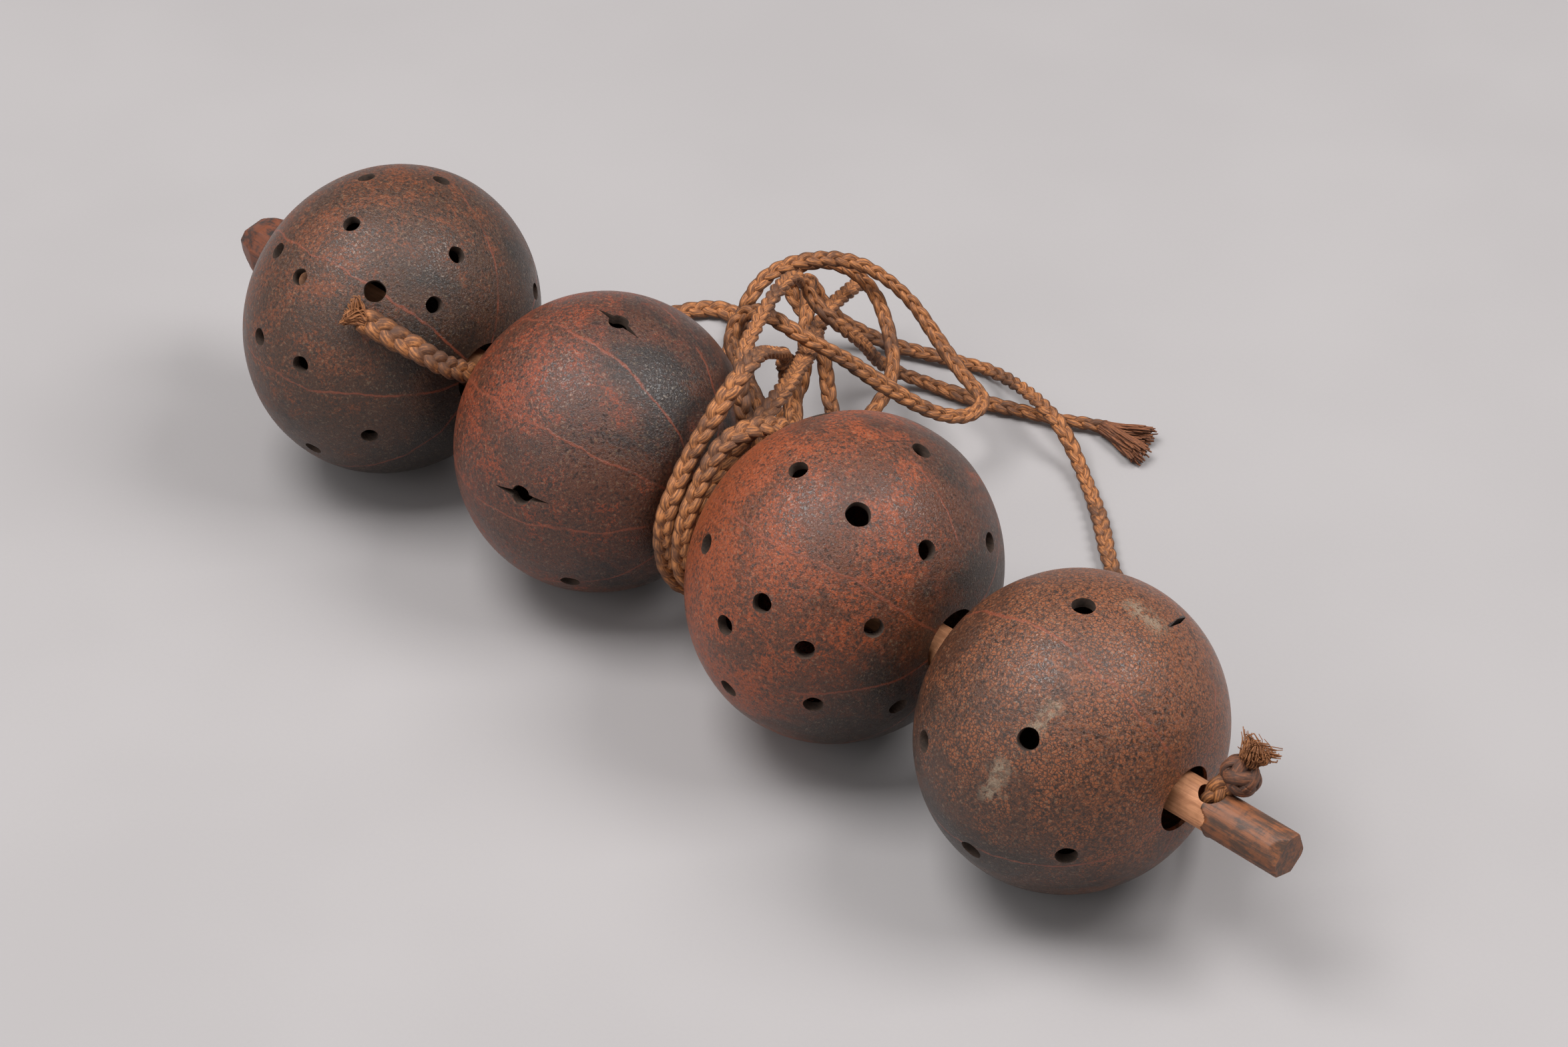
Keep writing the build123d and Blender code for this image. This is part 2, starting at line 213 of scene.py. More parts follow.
@dataclass(frozen=True)
class Mark:
    """A scuff or a crack on a skin: a line between two points, given in millimetres."""

    start: tuple[float, float, float]
    end: tuple[float, float, float]
    half_width: float
    colour: Colour
    patchy: float  # how far speckle breaks it up, 0 to 1

    RAGGED = 7  # reach of the speckle on a patchy mark's edge, in half widths
    SOLID_SHARE = 0.4  # of the half width

    def mask(self, paint: Paint, where: Wire, speckle: Wire) -> Wire:
        """Share of the mark's colour: full on the line, nothing beyond its half width.

        Args:
            paint: the material in the making.
            where: object coordinates.
            speckle: noise that breaks the mark up.

        Returns:
            The share, 0 to 1.
        """
        start, end = np.array(self.start) * MM, np.array(self.end) * MM
        run = end - start
        offset = paint.node("VectorMath", {0: where, 1: tuple(start)}, operation="SUBTRACT")
        toward = tuple(run / (run @ run))
        along = paint.node("VectorMath", {0: offset, 1: toward}, "Value", operation="DOT_PRODUCT")
        share = paint.node("Clamp", {"Value": along})
        foot = paint.node("VectorMath", {0: tuple(run), "Scale": share}, operation="SCALE")
        away = paint.node("VectorMath", {0: offset, 1: foot}, "Value", operation="DISTANCE")
        half = self.half_width * MM
        ragged = away + (speckle - 0.5) * (self.RAGGED * half * self.patchy)
        line = paint.step(ragged, self.SOLID_SHARE * half, half, 1, 0)
        return line * paint.step(speckle, 0.42, 0.58, 1 - self.patchy, 1)


@dataclass(frozen=True)
class ShellFinish:
    """Worn skin of one fruit: reddish ground, charcoal patches, orange mottle and pole-to-pole veins, with
    painted shade towards one side.
    """

    name: str
    ground: Colour
    charcoal: Colour
    orange: Colour
    charcoal_start: float  # noise level at which a patch begins
    orange_start: float
    crackle: float  # how dark the fine crazing lines are
    charcoal_and_shade_side: tuple[float, float, float]  # direction in which charcoal gains on orange: partly the fruit's own dark patches, partly painted shade on that side
    veins: tuple[int, ...]  # degrees round the axis from +Y towards +Z
    marks: tuple[Mark, ...] = ()

    VEIN_COLOUR = tint(135, 68, 45)
    DUST_COLOUR = tint(135, 117, 95)
    VEIN_HALF_WIDTH = 0.22 * MM
    LEAN_REACH = 30 * MM  # from the centre to where the lean counts in full
    RELIEF = 0.14 * MM
    RELIEF_SHARE = 0.5
    CELL_SCALE = 1450.0  # cells of the crazing in a metre
    CELL_JITTER = 0.9 * MM
    PATCHES = Grain(34, 8, 0.66, 0.7)
    MOTTLE = Grain(105, 8, 0.72, 0.8)
    FLECKS = Grain(1300, 6, 0.75, 0.6)
    PORES = Grain(1700, 3, 0.65, 0.5)
    RUBBING = Grain(520, 6, 0.72, 0.4)
    VEIN_WANDER = Grain(70, 4, 0.6)
    VEIN_EDGE = Grain(420, 3)
    VEIN_BREAKS = Grain(120, 3)

    def material(self, centre: np.ndarray) -> bpy.types.Material:
        """Make the material.

        Args:
            centre: the shell's centre, about which its veins run.

        Returns:
            The material, on object coordinates.
        """
        paint = Paint(self.name)
        where = paint.place()
        offset = paint.node("VectorMath", {0: where, 1: tuple(centre)}, operation="SUBTRACT")
        parts = [paint.node("SeparateXYZ", {0: offset}, axis) for axis in "XYZ"]
        # painted shade: the lean darkens each shell and takes orange away towards its given side, on top of
        # the fruit's own charcoal patches
        toward = tuple(np.array(self.charcoal_and_shade_side) / self.LEAN_REACH)
        lean = paint.node("VectorMath", {0: offset, 1: toward}, "Value", operation="DOT_PRODUCT")
        patches = paint.noise(where, self.PATCHES)
        mottle = paint.noise(where, self.MOTTLE)
        fleck = paint.noise(where, self.FLECKS)
        pores = paint.noise(where, self.PORES)
        cells = self.crazing(paint, where)
        creases = paint.step(abs(pores - 0.5), 0.0, 0.09)
        burnt_and_shaded = patches + lean * 0.13 + (fleck - 0.5) * 0.5
        charcoal = paint.step(burnt_and_shaded, self.charcoal_start, self.charcoal_start + 0.13)
        ruddy = mottle * 0.48 + fleck * 0.52 - lean * 0.06
        orange = paint.step(ruddy, self.orange_start, self.orange_start + 0.1)
        cracks = paint.step(cells, 0.02, 0.2, 1, 0) * paint.step(mottle, 0.36, 0.55)
        vein = self.vein_mask(paint, where, parts)
        colour = paint.mix(orange, self.ground, self.orange)
        colour = paint.mix(charcoal * 0.9, colour, self.charcoal)
        colour = paint.mix(cracks * self.crackle, colour, self.charcoal)
        pits = paint.step(fleck * 0.6 + pores, 0.78, 0.64)
        dust = paint.step(fleck * 0.4 + pores, 0.77, 0.88)
        colour = paint.mix(pits * 0.8, colour, self.charcoal)
        colour = paint.mix(dust * 0.35, colour, self.DUST_COLOUR)
        colour = paint.mix(vein * 0.65, colour, self.VEIN_COLOUR)
        rubbed = paint.noise(where, self.RUBBING)
        for mark in self.marks:
            colour = paint.mix(mark.mask(paint, where, rubbed), colour, mark.colour)
        roughness = paint.step(mottle + fleck * 0.6, 0.6, 1.0, 0.27, 0.44)
        height = creases * 0.55 + pores * 0.4 + fleck * 0.5 + paint.step(cells, 0, 0.35) * 0.4 + vein * 0.35
        return paint.finish(colour, roughness, paint.bump(height, self.RELIEF, self.RELIEF_SHARE))

    def crazing(self, paint: Paint, where: Wire) -> Wire:
        """Distance to the nearest line of a net of small uneven cells, as in old leather."""
        jitter = paint.node("TexNoise", {"Vector": where, "Scale": 900.0, "Detail": 2.0}, "Color")
        bent = paint.node(
            "VectorMath", {0: jitter, 1: (self.CELL_JITTER,) * 3, 2: where}, operation="MULTIPLY_ADD",
        )
        inputs = {"Vector": bent, "Scale": self.CELL_SCALE}
        return paint.node("TexVoronoi", inputs, "Distance", feature="DISTANCE_TO_EDGE")

    def vein_mask(self, paint: Paint, where: Wire, parts: Sequence[Wire]) -> Wire:
        """Thin broken lines along meridians: distance round the axis to each vein's wandering angle."""
        _, side, up = parts
        around = paint.maths("ARCTAN2", up, side)
        radius = paint.maths("SQRT", side * side + up * up)
        wander = (paint.noise(where, self.VEIN_WANDER) - 0.5) * 0.2
        half = self.VEIN_HALF_WIDTH
        ragged = (paint.noise(where, self.VEIN_EDGE) - 0.5) * (2.4 * half)
        mask: Operand = 0.0
        for angle in self.veins:
            away = abs(paint.maths("SINE", (around + (wander - math.radians(angle))) * 0.5) * 2) * radius
            mask = paint.step(away + ragged, 0.3 * half, 1.7 * half, 1, 0) + mask
        return mask * paint.step(paint.noise(where, self.VEIN_BREAKS), 0.34, 0.5)


@dataclass(frozen=True)
class WoodFinish:
    """Wood with grain along the stick."""

    name: str
    pale: Colour
    dark: Colour
    grain: float  # share of the dark colour in the grain
    rough: float
    blotchy: float = 0.6  # weight of blotches against streaks

    STREAKS = Grain(1500, 5, 0.65)
    STREAK_DRAW = (0.09, 1.0, 1.0)  # stretch along the stick
    BLOTCHES = Grain(260, 5, 0.65, 0.6)
    RELIEF = 0.22 * MM
    RELIEF_SHARE = 0.6

    def material(self) -> bpy.types.Material:
        """Make the material: noise drawn out along +X and blotches, on object coordinates."""
        paint = Paint(self.name)
        drawn = paint.node("Mapping", {"Vector": paint.place(), "Scale": self.STREAK_DRAW})
        streak = paint.noise(drawn, self.STREAKS)
        blotch = paint.noise(paint.place(), self.BLOTCHES)
        middle = 0.5 * (1 + self.blotchy)
        share = paint.step(streak + blotch * self.blotchy, middle - 0.2, middle + 0.2) * self.grain
        height = streak * 0.6 + blotch * 0.4
        colour = paint.mix(share, self.pale, self.dark)
        return paint.finish(colour, self.rough, paint.bump(height, self.RELIEF, self.RELIEF_SHARE))


@dataclass(frozen=True)
class FibreFinish:
    """Dry plant fibre: streaks along each strand, worn darker in places, painted shade along each strand's
    edges, on the strand's own map.
    """

    name: str
    bright: Colour
    brown: Colour
    # colour of the grime on worn stretches and of the painted shade along each strand's edges
    dirt_and_shade: Colour
    dirt_start: float

    STREAKS = Grain(1.8, 4, 0.6)
    STREAK_DRAW = (9.0, 0.3, 1.0)  # round the strand and along it
    DIRTY_STRETCHES = Grain(75, 4, 0.6)
    SPECKS = Grain(900, 3)
    ROUGHNESS = 0.68
    RELIEF = 0.2 * MM
    RELIEF_SHARE = 0.8

    def material(self) -> bpy.types.Material:
        """Make the material: fine streaks along the strand, painted shade along each strand's edges, and
        grime that comes and goes along the cord.
        """
        paint = Paint(self.name)
        laid = paint.node("TexCoord", {}, "UV")
        drawn = paint.node("Mapping", {"Vector": laid, "Scale": self.STREAK_DRAW})
        streak = paint.noise(drawn, self.STREAKS)
        turn = paint.node("SeparateXYZ", {0: laid}, "X") * TURN
        # painted shade: each strand darker along its two edges, where it meets its neighbours
        painted_crevice_shade = paint.step(abs(paint.maths("COSINE", turn)), 0.6, 1.0)
        where = paint.place()
        stretch = paint.noise(where, self.DIRTY_STRETCHES)
        speck = paint.noise(where, self.SPECKS)
        worn = paint.step(stretch + speck * 0.3, self.dirt_start, self.dirt_start + 0.2)
        colour = paint.mix(paint.step(streak, 0.4, 0.62), self.brown, self.bright)
        colour = paint.mix(painted_crevice_shade * 0.6, colour, self.dirt_and_shade)
        colour = paint.mix(worn * 0.8, colour, self.dirt_and_shade)
        bump = paint.bump(streak + speck * 0.3, self.RELIEF, self.RELIEF_SHARE)
        return paint.finish(colour, self.ROUGHNESS, bump)


class Finishes(Enum):
    """Finishes shared by several pieces."""

    PEELED = WoodFinish("peeled_wood", tint(202, 142, 102), tint(146, 92, 58), 0.7, 0.62)
    BARK = WoodFinish("worn_bark", tint(126, 74, 42), tint(62, 45, 35), 0.95, 0.55, 1.2)
    CARVED = WoodFinish("carved_knob", tint(108, 56, 32), tint(44, 34, 30), 1.0, 0.5, 1.6)
    CUT = WoodFinish("cut_shell", tint(72, 54, 43), tint(40, 31, 25), 0.8, 0.85)
    KERNEL = WoodFinish("hard_seed", tint(47, 32, 27), tint(27, 20, 18), 0.8, 0.4)
    PLAIT = FibreFinish("plaited_fibre", tint(184, 118, 66), tint(104, 62, 34), tint(70, 44, 30), 0.62)
    KNOTTED = FibreFinish("knotted_fibre", tint(135, 83, 54), tint(81, 52, 38), tint(58, 40, 32), 0.58)
    BRUSH = FibreFinish("tassel_fibre", tint(155, 95, 56), tint(101, 59, 38), tint(70, 43, 31), 0.66)
    FRAY = FibreFinish("frayed_fibre", tint(182, 119, 67), tint(124, 72, 40), tint(86, 52, 32), 0.72)


class FinishShelf:
    """Materials made once and shared."""

    def __init__(self) -> None:
        """Start with nothing made."""
        self.made: dict[Finishes, bpy.types.Material] = {}

    def get(self, finish: Finishes) -> bpy.types.Material:
        """Material of a finish, made on first use."""
        if finish not in self.made:
            self.made[finish] = finish.value.material()
        return self.made[finish]


def unit(vectors: np.ndarray) -> np.ndarray:
    """Vectors along the last axis, each divided by its length."""
    return vectors / np.linalg.norm(vectors, axis=-1, keepdims=True)


def grid_faces(rows: int, columns: int, wrap_rows: bool, wrap_columns: bool) -> np.ndarray:
    """Quads of a grid of vertices numbered row by row.

    Args:
        rows: number of rows.
        columns: number of columns.
        wrap_rows: whether the last row joins the first.
        wrap_columns: whether the last column joins the first.

    Returns:
        Vertex numbers, four to a face.
    """
    row = np.arange(rows if wrap_rows else rows - 1)[:, None]
    column = np.arange(columns if wrap_columns else columns - 1)[None, :]
    below, beside = (row + 1) % rows, (column + 1) % columns
    here, there = row * columns, below * columns
    corners = (here + column, here + beside, there + beside, there + column)
    return np.stack(corners, -1).reshape(-1, 4)


def mesh_object(
    name: str, points: np.ndarray, faces: Sequence, materials: Sequence[bpy.types.Material],
    uv: np.ndarray | None = None,
) -> bpy.types.Object:
    """Smooth-shaded object at the origin.

    Args:
        name: its name.
        points: vertices, in metres.
        faces: vertex numbers of each face.
        materials: its material slots.
        uv: map position of each vertex, if its material needs one.

    Returns:
        The object, linked to the scene.
    """
    mesh = bpy.data.meshes.new(name)
    mesh.from_pydata(points.reshape(-1, 3), [], faces.tolist() if isinstance(faces, np.ndarray) else faces)
    for material in materials:
        mesh.materials.append(material)
    mesh.polygons.foreach_set("use_smooth", np.ones(len(mesh.polygons), bool))
    if uv is not None:
        corners = np.empty(len(mesh.loops), np.int32)
        mesh.loops.foreach_get("vertex_index", corners)
        spread = uv.reshape(-1, 2)[corners].astype(np.float32)
        mesh.uv_layers.new(name="along").data.foreach_set("uv", spread.ravel())
    mesh.validate()
    made = bpy.data.objects.new(name, mesh)
    bpy.context.scene.collection.objects.link(made)
    return made


def carve(piece: bpy.types.Object, cutter: bpy.types.Object, sharp: float) -> None:
    """Cut one object out of another and keep the result as plain mesh.

    Args:
        piece: the object that is cut; its cut faces take the cutter's material.
        cutter: what is taken away, removed afterwards.
        sharp: angle in degrees above which an edge stays crisp.
    """
    modifier = piece.modifiers.new("carve", "BOOLEAN")
    modifier.operation = "DIFFERENCE"
    modifier.solver = "EXACT"
    modifier.material_mode = "TRANSFER"
    modifier.object = cutter
    graph = bpy.context.evaluated_depsgraph_get()
    carved = bpy.data.meshes.new_from_object(piece.evaluated_get(graph))
    carved.name = piece.data.name
    piece.modifiers.clear()
    piece.data = carved
    carved.polygons.foreach_set("use_smooth", np.ones(len(carved.polygons), bool))
    carved.set_sharp_from_angle(angle=math.radians(sharp))
    bpy.data.objects.remove(cutter)


def prisms(
    name: str, outlines: np.ndarray, origins: np.ndarray, frames: np.ndarray, profile: np.ndarray,
    material: bpy.types.Material,
) -> bpy.types.Object:
    """Closed prisms in one object, for cutting.

    Each is its outline carried along its own z and scaled by the profile, with flat ends.

    Args:
        name: object name.
        outlines: (count, points, 2) outline of each, anticlockwise, in metres.
        origins: (count, 3) origin of each.
        frames: (count, 3, 3) rows x, y, z of each.
        profile: (levels, 2) height in metres and scale, from the lowest up.
        material: what the cut faces show.

    Returns:
        The cutter.
    """
    count, around, _ = outlines.shape
    levels = len(profile)
    flat = outlines[:, None] * profile[None, :, 1, None, None]
    height = np.broadcast_to(profile[None, :, 0, None, None], (count, levels, around, 1))
    local = np.concatenate([flat, height], -1)
    points = np.einsum("clak,ckx->clax", local, frames) + origins[:, None, None]
    sides = grid_faces(levels, around, False, True)
    first = np.arange(count)[:, None] * levels * around
    faces = (sides[None] + first[..., None]).reshape(-1, 4).tolist()
    ring = np.arange(around)
    faces += (first + ring[::-1]).tolist()
    faces += (first + (levels - 1) * around + ring).tolist()
    return mesh_object(name, points, faces, [material])


@dataclass
class FruitShell:
    """One hollow shell: round about its own axis, trimmed at both ends for the stick, with bored holes."""

    number: int
    girth_radius: float
    half_length: float
    flat_distance: float
    hole_diameter: float
    holes: tuple[tuple[int, int], ...]  # degrees from +X and round the axis from +Y towards +Z
    finish: ShellFinish
    wide_diameter: float
    wide_holes: tuple[tuple[int, int], ...] = ()
    splits: tuple[tuple[int, int, float, float], ...] = ()  # place as a hole's, length, slant in degrees
    bore_radius: float = 6.3
    wall: float = 2.0
    split_width: float = 1.8
    lump: float = 0.22  # depth of the fruit's shallow dents, mm
    centre: np.ndarray = field(default_factory=lambda: np.zeros(3))

    AROUND = 320
    OUTER_ROWS = 150
    INNER_ROWS = 48
    OUTLINE_POINTS = 120
    RIM_SHARPNESS = 28  # the higher, the shorter the bend from the round to the flat
    DENT_WAVES = ((2, 1.3), (3, 2.1), (5, 2.9), (7, 4.3))  # lobes round the girth, waves from end to end
    SLIT_RADIUS = 0.05  # mm, of a split that has no hole in it
    AWL_PROFILE = ((-6.0, 0.94), (-0.5, 0.98), (0.05, 1.05), (3.0, 1.3))  # height over the skin, scale
    CRISP_ANGLE = 38  # degrees

    @property
    def name(self) -> str:
        """Name of the CAD node that the shell stands for."""
        return f"shell_{self.number}"

    def build(self, joints: Sequence[dict[str, Any]], shelf: FinishShelf) -> bpy.types.Object:
        """Make the shell about its joint, cut its holes and set it on its body.

        Args:
            joints: the frame's joints.
            shelf: shared materials.

        Returns:
            The finished piece.
        """
        self.centre = next(np.array(joint["pos_m"]) for joint in joints if joint["child"] == self.name)
        rng = np.random.default_rng(self.number)
        skin = self.finish.material(self.centre)
        points, rows = self.surface(rng)
        faces = grid_faces(rows, self.AROUND, True, True)
        piece = mesh_object(f"fruit_{self.number}", points, faces, [skin])
        carve(piece, self.cutter(rng, shelf.get(Finishes.CUT)), self.CRISP_ANGLE)
        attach(piece, self.name)
        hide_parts(self.name)
        return piece

    def surface(self, rng: np.random.Generator) -> tuple[np.ndarray, int]:
        """Closed wall as one grid, outside from +X to -X and back inside.

        The outside is an ellipse turned about the axis, its ends brought softly down to the flat, with
        shallow dents from a few slow waves; the inside is the same ellipse less the wall.

        Args:
            rng: source of the waves' phases.

        Returns:
            Vertices by row and column, and the number of rows.
        """
        start = math.asin(self.bore_radius / self.girth_radius)
        polar = np.linspace(start, math.pi - start, self.OUTER_ROWS)
        length = self.half_length * np.cos(polar)
        sharpness = self.RIM_SHARPNESS
        softened = np.sign(length) * (
            np.abs(np.where(length == 0, 1e-9, length)) ** -sharpness + self.flat_distance ** -sharpness
        ) ** (-1 / sharpness)
        inner_length, inner_girth = self.half_length - self.wall, self.girth_radius - self.wall
        begin = math.asin(self.bore_radius / inner_girth)
        inner = np.linspace(math.pi - begin, begin, self.INNER_ROWS)
        along = np.concatenate([softened, inner_length * np.cos(inner)])
        out = np.concatenate([self.girth_radius * np.sin(polar), inner_girth * np.sin(inner)])
        turn = np.linspace(0, TURN, self.AROUND, endpoint=False)
        phase = rng.uniform(0, TURN, 6)
        dent = np.zeros((self.OUTER_ROWS, self.AROUND))
        for count, (lobes, waves) in enumerate(self.DENT_WAVES):
            around = np.sin(lobes * turn[None] + phase[count])
            dent += around * np.sin(waves * polar[:, None] * 2 + phase[count + 2])
        dent = (dent / len(self.DENT_WAVES) - 1) * self.lump / 2 * np.sin(polar)[:, None]
        radius = np.repeat(out[:, None], self.AROUND, 1)
        radius[: self.OUTER_ROWS] += dent
        grid = np.stack(
            [np.repeat(along[:, None], self.AROUND, 1), radius * np.cos(turn), radius * np.sin(turn)], -1,
        )
        return grid * MM + self.centre, len(along)

    def tangent(self, places: np.ndarray) -> tuple[np.ndarray, np.ndarray]:
        """Points on the outside and frames there, rows along the meridian, round the girth and outwards.

        Args:
            places: (count, 2) angle from +X and angle round the axis, in degrees.

        Returns:
            Points in metres and frames.
        """
        polar, around = np.radians(places).T
        along, out = np.cos(polar), np.sin(polar)
        side, up = np.cos(around), np.sin(around)
        length, girth = self.half_length, self.girth_radius
        points = np.stack([length * along, girth * out * side, girth * out * up], -1) * MM + self.centre
        outward = unit(np.stack([along / length, out * side / girth, out * up / girth], -1))
        meridian = unit(np.stack([-length * out, girth * along * side, girth * along * up], -1))
        return points, np.stack([meridian, np.cross(outward, meridian), outward], 1)

    def cutter(self, rng: np.random.Generator, material: bpy.types.Material) -> bpy.types.Object:
        """Everything bored or split out of the wall.

        A hole's outline is a circle with a few small waves, as a hot awl leaves it; a split adds a long
        thin diamond, slanted from the meridian, and the outline is the further of the two in each
        direction.

        Args:
            rng: source of the waves.
            material: what the hole's wall shows.

        Returns:
            The cutter.
        """
        plain_split = [split for split in self.splits if split[:2] not in self.wide_holes]
        places = [*self.holes, *self.wide_holes, *(split[:2] for split in plain_split)]
        radii = [self.hole_diameter / 2] * len(self.holes) + [self.wide_diameter / 2] * len(self.wide_holes)
        radii += [self.SLIT_RADIUS] * len(plain_split)
        even = np.linspace(-1, 1, self.OUTLINE_POINTS // 4, endpoint=False)
        crowded = np.sign(even) * np.abs(even) ** 3
        quarter = np.pi / 2 * np.unique(np.concatenate([even, crowded]))
        angle = np.concatenate([quarter, quarter + np.pi])
        count = len(places)
        waves = sum(
            rng.uniform(0.004, 0.02, (count, 1)) * np.sin(lobes * angle + rng.uniform(0, TURN, (count, 1)))
            for lobes in (2, 3, 5)
        )
        reach = np.array(radii)[:, None] * (1 + waves)
        slant = np.zeros(count)
        for *place, length, lean in self.splits:
            index = places.index(tuple(place))
            along, across = length / 2, self.split_width / 2
            diamond = 1 / (np.abs(np.cos(angle)) / along + np.abs(np.sin(angle)) / across)
            reach[index] = np.maximum(reach[index], diamond)
            slant[index] = math.radians(lean)
        turned = angle + slant[:, None]
        outlines = np.stack([np.cos(turned), np.sin(turned)], -1) * reach[..., None] * MM
        origins, frames = self.tangent(np.array(places, float))
        profile = np.array(self.AWL_PROFILE) * (MM, 1)
        return prisms(f"awl_{self.number}", outlines, origins, frames, profile, material)


@dataclass
class WhittledStick:
    """Stick with a faceted knob at the far end and a bark-covered free end with a whittled tip."""

    radius: float = 4.0
    bark_radius: float = 4.25
    knob_end: float = -130.7
    knob_length: float = 14.7
    free_end: float = 130.7
    bark_length: float = 16.3
    height: float = 29.4
    hole_radius: float = 2.4
    near_hole: float = 114.0
    far_hole: float = -60.75
    far_tilt: float = 49.5  # degrees from the vertical
    knob_planes: tuple[tuple[float, float, float, float], ...] = (
        # angle round the stick, distance from the axis at the middle, slopes towards the end and the stick
        (8, 5.9, 0.36, 0.30), (52, 6.1, 0.30, 0.38), (97, 6.0, 0.42, 0.26), (140, 6.2, 0.34, 0.34),
        (186, 5.8, 0.30, 0.40), (232, 6.1, 0.44, 0.30), (275, 6.0, 0.34, 0.28), (319, 6.2, 0.38, 0.36),
    )
    tip_planes: tuple[tuple[float, float, float], ...] = (
        # angle round the stick, distance from the axis at the tip, slope
        (20, 3.5, 0.45), (78, 3.9, 0.25), (135, 3.2, 0.45),
        (196, 3.8, 0.3), (250, 3.6, 0.42), (306, 3.9, 0.3),
    )

    AROUND = 96
    ROWS = (44, 240, 80)  # along the knob, the shaft and the bark
    HOLE_POINTS = 40
    CRISP_ANGLE = 22  # degrees
    GRAZING = 0.2  # least cosine at which a knife plane counts

    @property
    def shoulder(self) -> float:
        """Where the knob meets the shaft."""
        return self.knob_end + self.knob_length

    @property
    def bark_start(self) -> float:
        """Where the bark begins."""
        return self.free_end - self.bark_length

    def build(self, shelf: FinishShelf) -> bpy.types.Object:
        """Make the stick in its three finishes and set it on its body.

        Args:
            shelf: shared materials.

        Returns:
            The finished piece.
        """
        knob_rows, shaft_rows, bark_rows = self.ROWS
        stations = np.concatenate([
            np.linspace(self.knob_end, self.shoulder, knob_rows),
            np.linspace(self.shoulder + 0.3, self.bark_start - 0.4, shaft_rows),
            np.linspace(self.bark_start, self.free_end, bark_rows),
        ])
        turn = np.linspace(0, TURN, self.AROUND, endpoint=False)
        radius = self.reach(stations[:, None], turn[None])
        points = np.stack([
            np.repeat(stations[:, None], self.AROUND, 1), radius * np.cos(turn),
            radius * np.sin(turn) + self.height,
        ], -1).reshape(-1, 3)
        rows = len(stations)
        ends = np.array([(stations[0], 0, self.height), (stations[-1], 0, self.height)])
        faces = grid_faces(rows, self.AROUND, False, True)[:, ::-1]
        ring = np.arange(self.AROUND)
        beside = (ring + 1) % self.AROUND
        last = (rows - 1) * self.AROUND
        middle = np.full(self.AROUND, rows * self.AROUND)
        fans = np.stack([ring, beside, middle], -1).tolist()
        fans += np.stack([middle + 1, last + ring, last + beside], -1).tolist()
        names = (Finishes.PEELED, Finishes.BARK, Finishes.CARVED)
        piece = mesh_object(
            "whittled_stick", np.concatenate([points, ends]) * MM, faces.tolist() + fans,
            [shelf.get(name) for name in names],
        )
        self.dress(piece.data)
        carve(piece, self.cutter(shelf.get(Finishes.PEELED)), self.CRISP_ANGLE)
        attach(piece, "stick")
        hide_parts("stick")
        return piece

    def reach(self, station: np.ndarray, turn: np.ndarray) -> np.ndarray:
        """Distance of the surface from the axis.

        The knob and the tip are the nearest of several knife-cut planes in each direction, each plane
        leaning in towards its end; the shaft is a circle with faint knife flats, and the bark end is a
        little thicker, with fine ridges along it and a torn edge.

        Args:
            station: position along X, mm, down the rows.
            turn: angle round the axis, across the columns.

        Returns:
            Radius by row and column, mm.
        """
        flats = 0.05 * np.cos(7 * turn + 0.02 * station) + 0.03 * np.cos(11 * turn + 1.3)
        shaft = self.radius - 0.06 + flats + 0.03 * np.sin(station * 0.21 + 3 * turn)
        torn = self.torn_edge(turn) + 0.3 * np.sin(9 * turn + 2)
        ridges = 0.02 * np.cos(13 * turn + 0.05 * station) + 0.02 * np.cos(5 * turn + 2 + 0.03 * station)
        bark = self.bark_radius - 0.06 + ridges + 0.08 * np.exp(-(((station - torn - 0.8) / 0.7) ** 2))
        along = np.clip((station - torn) / 0.8, 0, 1)
        body = shaft + (bark - shaft) * along * along * (3 - 2 * along)
        knob_middle = self.knob_end + self.knob_length / 2
        outward = np.clip(knob_middle - station - 2.2, 0, None)
        inward = np.clip(station - knob_middle - 2.2, 0, None)
        knob = np.full(np.broadcast(station, turn).shape, np.inf)
        for angle, distance, out_slope, in_slope in self.knob_planes:
            lean = distance - out_slope * outward - in_slope * inward - 0.02 * outward**2
            knob = np.minimum(knob, self.facet(lean, turn, angle))
        body = np.where(station <= self.shoulder, knob, body)
        tip = np.full(body.shape, np.inf)
        for angle, distance, slope in self.tip_planes:
            lean = distance + slope * (self.free_end - station)
            tip = np.minimum(tip, self.facet(lean, turn, angle))
        return np.minimum(body, tip)

    def torn_edge(self, turn: np.ndarray) -> np.ndarray:
        """Where the torn bark begins in each direction, mm along X."""
        return self.bark_start + 0.7 * np.sin(2 * turn + 1) + 0.5 * np.sin(5 * turn)

    def facet(self, distance: np.ndarray, turn: np.ndarray, angle: float) -> np.ndarray:
        """Distance from the axis to a plane in each direction, by the cosine between the two."""
        cosine = np.cos(turn - math.radians(angle))
        return np.where(cosine > self.GRAZING, distance / np.maximum(cosine, self.GRAZING), np.inf)

    def dress(self, mesh: bpy.types.Mesh) -> None:
        """Give the knob, the shaft and the bark end their finishes by where each face lies."""
        middle = np.empty(len(mesh.polygons) * 3)
        mesh.polygons.foreach_get("center", middle)
        along, side, up = (middle.reshape(-1, 3) / MM).T
        turn = np.arctan2(up - self.height, side)
        peeled, bark, carved = range(3)
        slot = np.where(along < self.shoulder + 0.2, carved, peeled)
        slot = np.where(along > self.torn_edge(turn) + 0.2, bark, slot)
        mesh.polygons.foreach_set("material_index", slot.astype(np.int32))

